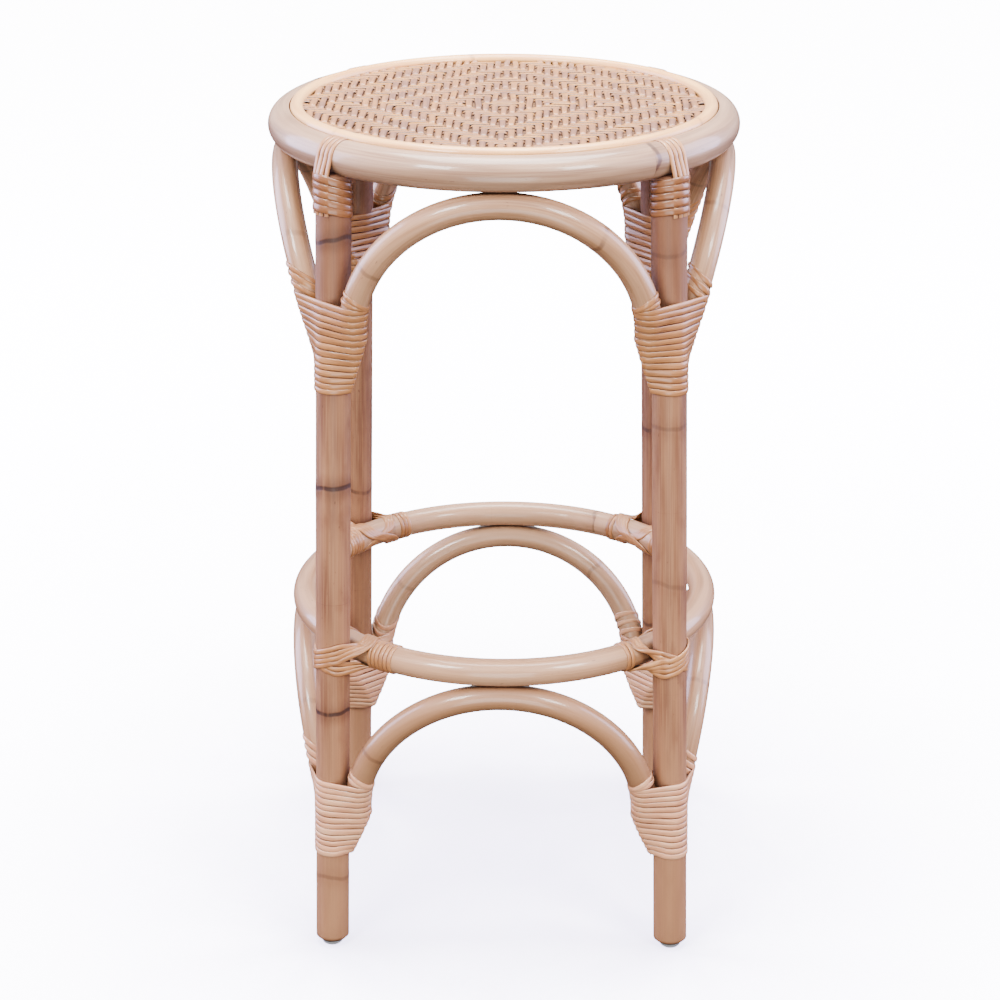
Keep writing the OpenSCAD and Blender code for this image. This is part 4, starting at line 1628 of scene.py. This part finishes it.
@dataclass
class Studio:
    """White floor, soft lights, a pale surround and the camera."""

    backdrop: bpy.types.Material
    floor_half: float = 9.0
    surround: str = "#ffffff"
    # The surround's strength below the horizon, at it and overhead, and where the camera sees it
    below: float = 0.08
    level: float = 0.85
    overhead: float = 1.7
    seen: float = 13.0
    # The camera stands a little to the right of the stool's middle plane and looks at its axis
    camera_place: tuple[float, float, float] = (0.0391, -2.1988, 1.2519)
    pitch_deg: float = 21.75
    lens_mm: float = 92.69
    sensor_mm: float = 36.0
    shift_x: float = -0.0041

    def floor(self) -> None:
        """Lays the floor. It lights the stool no more than the surround below the horizon does."""
        half = self.floor_half
        mesh = bpy.data.meshes.new("studio_floor")
        corners = [(-half, -half, 0), (half, -half, 0), (half, half, 0), (-half, half, 0)]
        mesh.from_pydata(corners, [], [(0, 1, 2, 3)])
        mesh.materials.append(self.backdrop)
        floor = bpy.data.objects.new("studio_floor", mesh)
        floor.visible_diffuse = False
        floor.visible_glossy = False
        bpy.context.scene.collection.objects.link(floor)

    def world(self) -> None:
        """Sets the surround, which is brightest round the horizon."""
        world = bpy.data.worlds.new("studio")
        world.use_nodes = True
        tree = world.node_tree
        background = tree.nodes["Background"]
        background.inputs["Color"].default_value = linear(self.surround)
        way = add_node(tree, "TexCoord").outputs["Generated"]
        rise = add_node(tree, "SeparateXYZ", {0: way}).outputs["Z"]
        ramp = add_node(tree, "FloatCurve", {"Value": Finish.limits(tree, rise, -1.0, 1.0)})
        curve = ramp.mapping.curves[0]
        top = max(self.below, self.level, self.overhead)
        for point, value in zip(curve.points, (self.below, self.overhead)):
            point.location = (point.location.x, value / top)
        for place, value in ((0.42, self.below), (0.52, self.level), (0.72, self.level)):
            curve.points.new(place, value / top)
        ramp.mapping.update()
        strength = Finish.combined(tree, "MULTIPLY", ramp.outputs[0], top)
        # Past the floor's edge the camera sees the same white as the floor's
        camera_ray = add_node(tree, "LightPath").outputs["Is Camera Ray"]
        seen = Finish.combined(tree, "MULTIPLY", camera_ray, self.seen)
        strength = Finish.combined(tree, "MAXIMUM", strength, seen)
        tree.links.new(strength, background.inputs["Strength"])
        bpy.context.scene.world = world

    def camera(self) -> None:
        """Sets up the camera."""
        data = bpy.data.cameras.new("camera")
        data.lens, data.sensor_width, data.shift_x = self.lens_mm, self.sensor_mm, self.shift_x
        camera = bpy.data.objects.new("camera", data)
        camera.location = self.camera_place
        yaw = math.atan2(self.camera_place[0], -self.camera_place[1])
        camera.rotation_euler = (math.radians(90 - self.pitch_deg), 0, yaw)
        bpy.context.scene.collection.objects.link(camera)
        bpy.context.scene.camera = camera

    def build(self) -> None:
        """Makes the studio."""
        self.camera()
        self.floor()
        self.world()
        # Name, place, side in metres and power in watts: two in front, two tinted ones at the sides, one
        # overhead, and one low down that opens the shade between the feet
        for box in (Softbox("key_light", (-1.4, -2.0, 2.5), 0.8, 98),
                    Softbox("fill_light", (1.6, -2.0, 2.4), 0.8, 80),
                    Softbox("left_light", (-2.4, 0.5, 1.2), 2.0, 170, colour="#d6d0ff"),
                    Softbox("right_light", (2.4, 0.5, 1.2), 2.0, 140, colour="#d6d0ff"),
                    Softbox("top_light", (0.0, 0.2, 2.9), 1.8, 240),
                    Softbox("foot_light", (0.0, -1.3, 0.25), 0.7, 10, aim_z=-0.05)):
            box.build()


def main() -> None:
    """Builds the stool's pieces in order, then the studio."""
    logging.basicConfig(level=logging.INFO, format="%(name)s %(message)s")
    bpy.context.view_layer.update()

    Studio(LitBackdrop("lit_white_sweep").make()).build()

    peeled = LacqueredRattan("peeled_rattan_lacquered").make()
    ringed = LacqueredRattan("peeled_rattan_pale_lacquered", pale="#be997b", mid="#ad866a",
                             dark="#8c664d").make()
    bezel = LacqueredRattan("peeled_rattan_fine_lacquered", pale="#ffcc80", mid="#ffbe74", dark="#e39e5e",
                            fibre_mm=(0.9, 0.9, 50.0), patchiness=0.3).make()
    # The skin-on rattan's painted shade reaches 45 mm, darkening the legs' tops under the seat and beside the
    # bindings
    skin_on = LacqueredRattan("skin_on_rattan_lacquered", pale="#a87652", mid="#926241", dark="#73472e",
                              roughness=0.58, coat=0.06, coat_roughness=0.25, patchiness=0.7, streaks=0.55,
                              shade_reach_mm=45.0, shade_depth=0.75, band_mm=(15.0, 15.0, 90.0),
                              patch_mm=(14.0, 14.0, 36.0)).make()
    wound = SplitCane("wound_split_cane_lacquered").make()
    # A paler copy of the wound cane finish for the lower bindings: painted light from below
    wound_painted_light = SplitCane("wound_split_cane_painted_light_lacquered", pale="#f5bd92", mid="#e7a37a", dark="#bc7c5a",
                           edge="#5a3826").make()
    # The woven strips get deep painted shade at their edges and in the gaps between them
    woven = SplitCane("woven_cane_strips_lacquered", pale="#cc873a", mid="#b37645", dark="#8f614c",
                      edge="#3c2417", width_mm=6.0, roughness=0.4, coat=0.25, edge_shade_depth=0.8,
                      edge_shade_from=0.62, shade_reach_mm=6.0, shade_depth=1.0).make()

    seat, seat_bezel, footrest = Ring.of("seat_ring"), Ring.of("seat_bezel"), Ring.of("footrest_ring")
    legs = LegLine.measured()
    upper = ArchLine.measured("upper", seat, legs, 0.0)
    lower = ArchLine.measured("lower", footrest, legs, 6 * MM)

    Legs(legs, skin_on).build()
    BentRings(seat, seat_bezel, footrest, ringed, bezel, peeled).build()
    quiet = ((0.15, 0.25), (0.36, 0.2))
    ArchTier("upper", upper, peeled, 210, (((0.113, 0.3), (0.330, 0.4)), quiet, quiet, quiet)).build()
    # The lower back arch's paler tone is painted light
    ArchTier("lower", lower, peeled, 220, (((0.110, 0.3), (0.410, 0.7)), quiet, quiet, quiet),
             tones=(0.05, 0.3, 0.9, 0.3)).build()
    SeatRails(seat, skin_on).build()
    WovenSeat(seat_bezel, woven).build()
    SeatBindings(seat, seat_bezel, legs, wound).build()
    ArchBindings("upper", upper, wound, 0.5, 700).build()
    # The lower bindings are paler, in finish and in tone: painted light from below
    ArchBindings("lower", lower, wound_painted_light, 0.6, 720, turns=13, foot_rise=7 * MM).build()
    FootrestBindings(footrest, legs, wound).build()
    Hardware(ShadeDarkPlywood("plywood_dark_as_painted_shade").make(), MouldedNylon("moulded_grey_nylon").make(),
             DrawnSteel("zinc_plated_steel").make(),
             DrawnSteel("drawn_steel_wire", bright="#8f8a84", dull="#5d5752").make()).build()


if __name__ == "__main__":
    main()
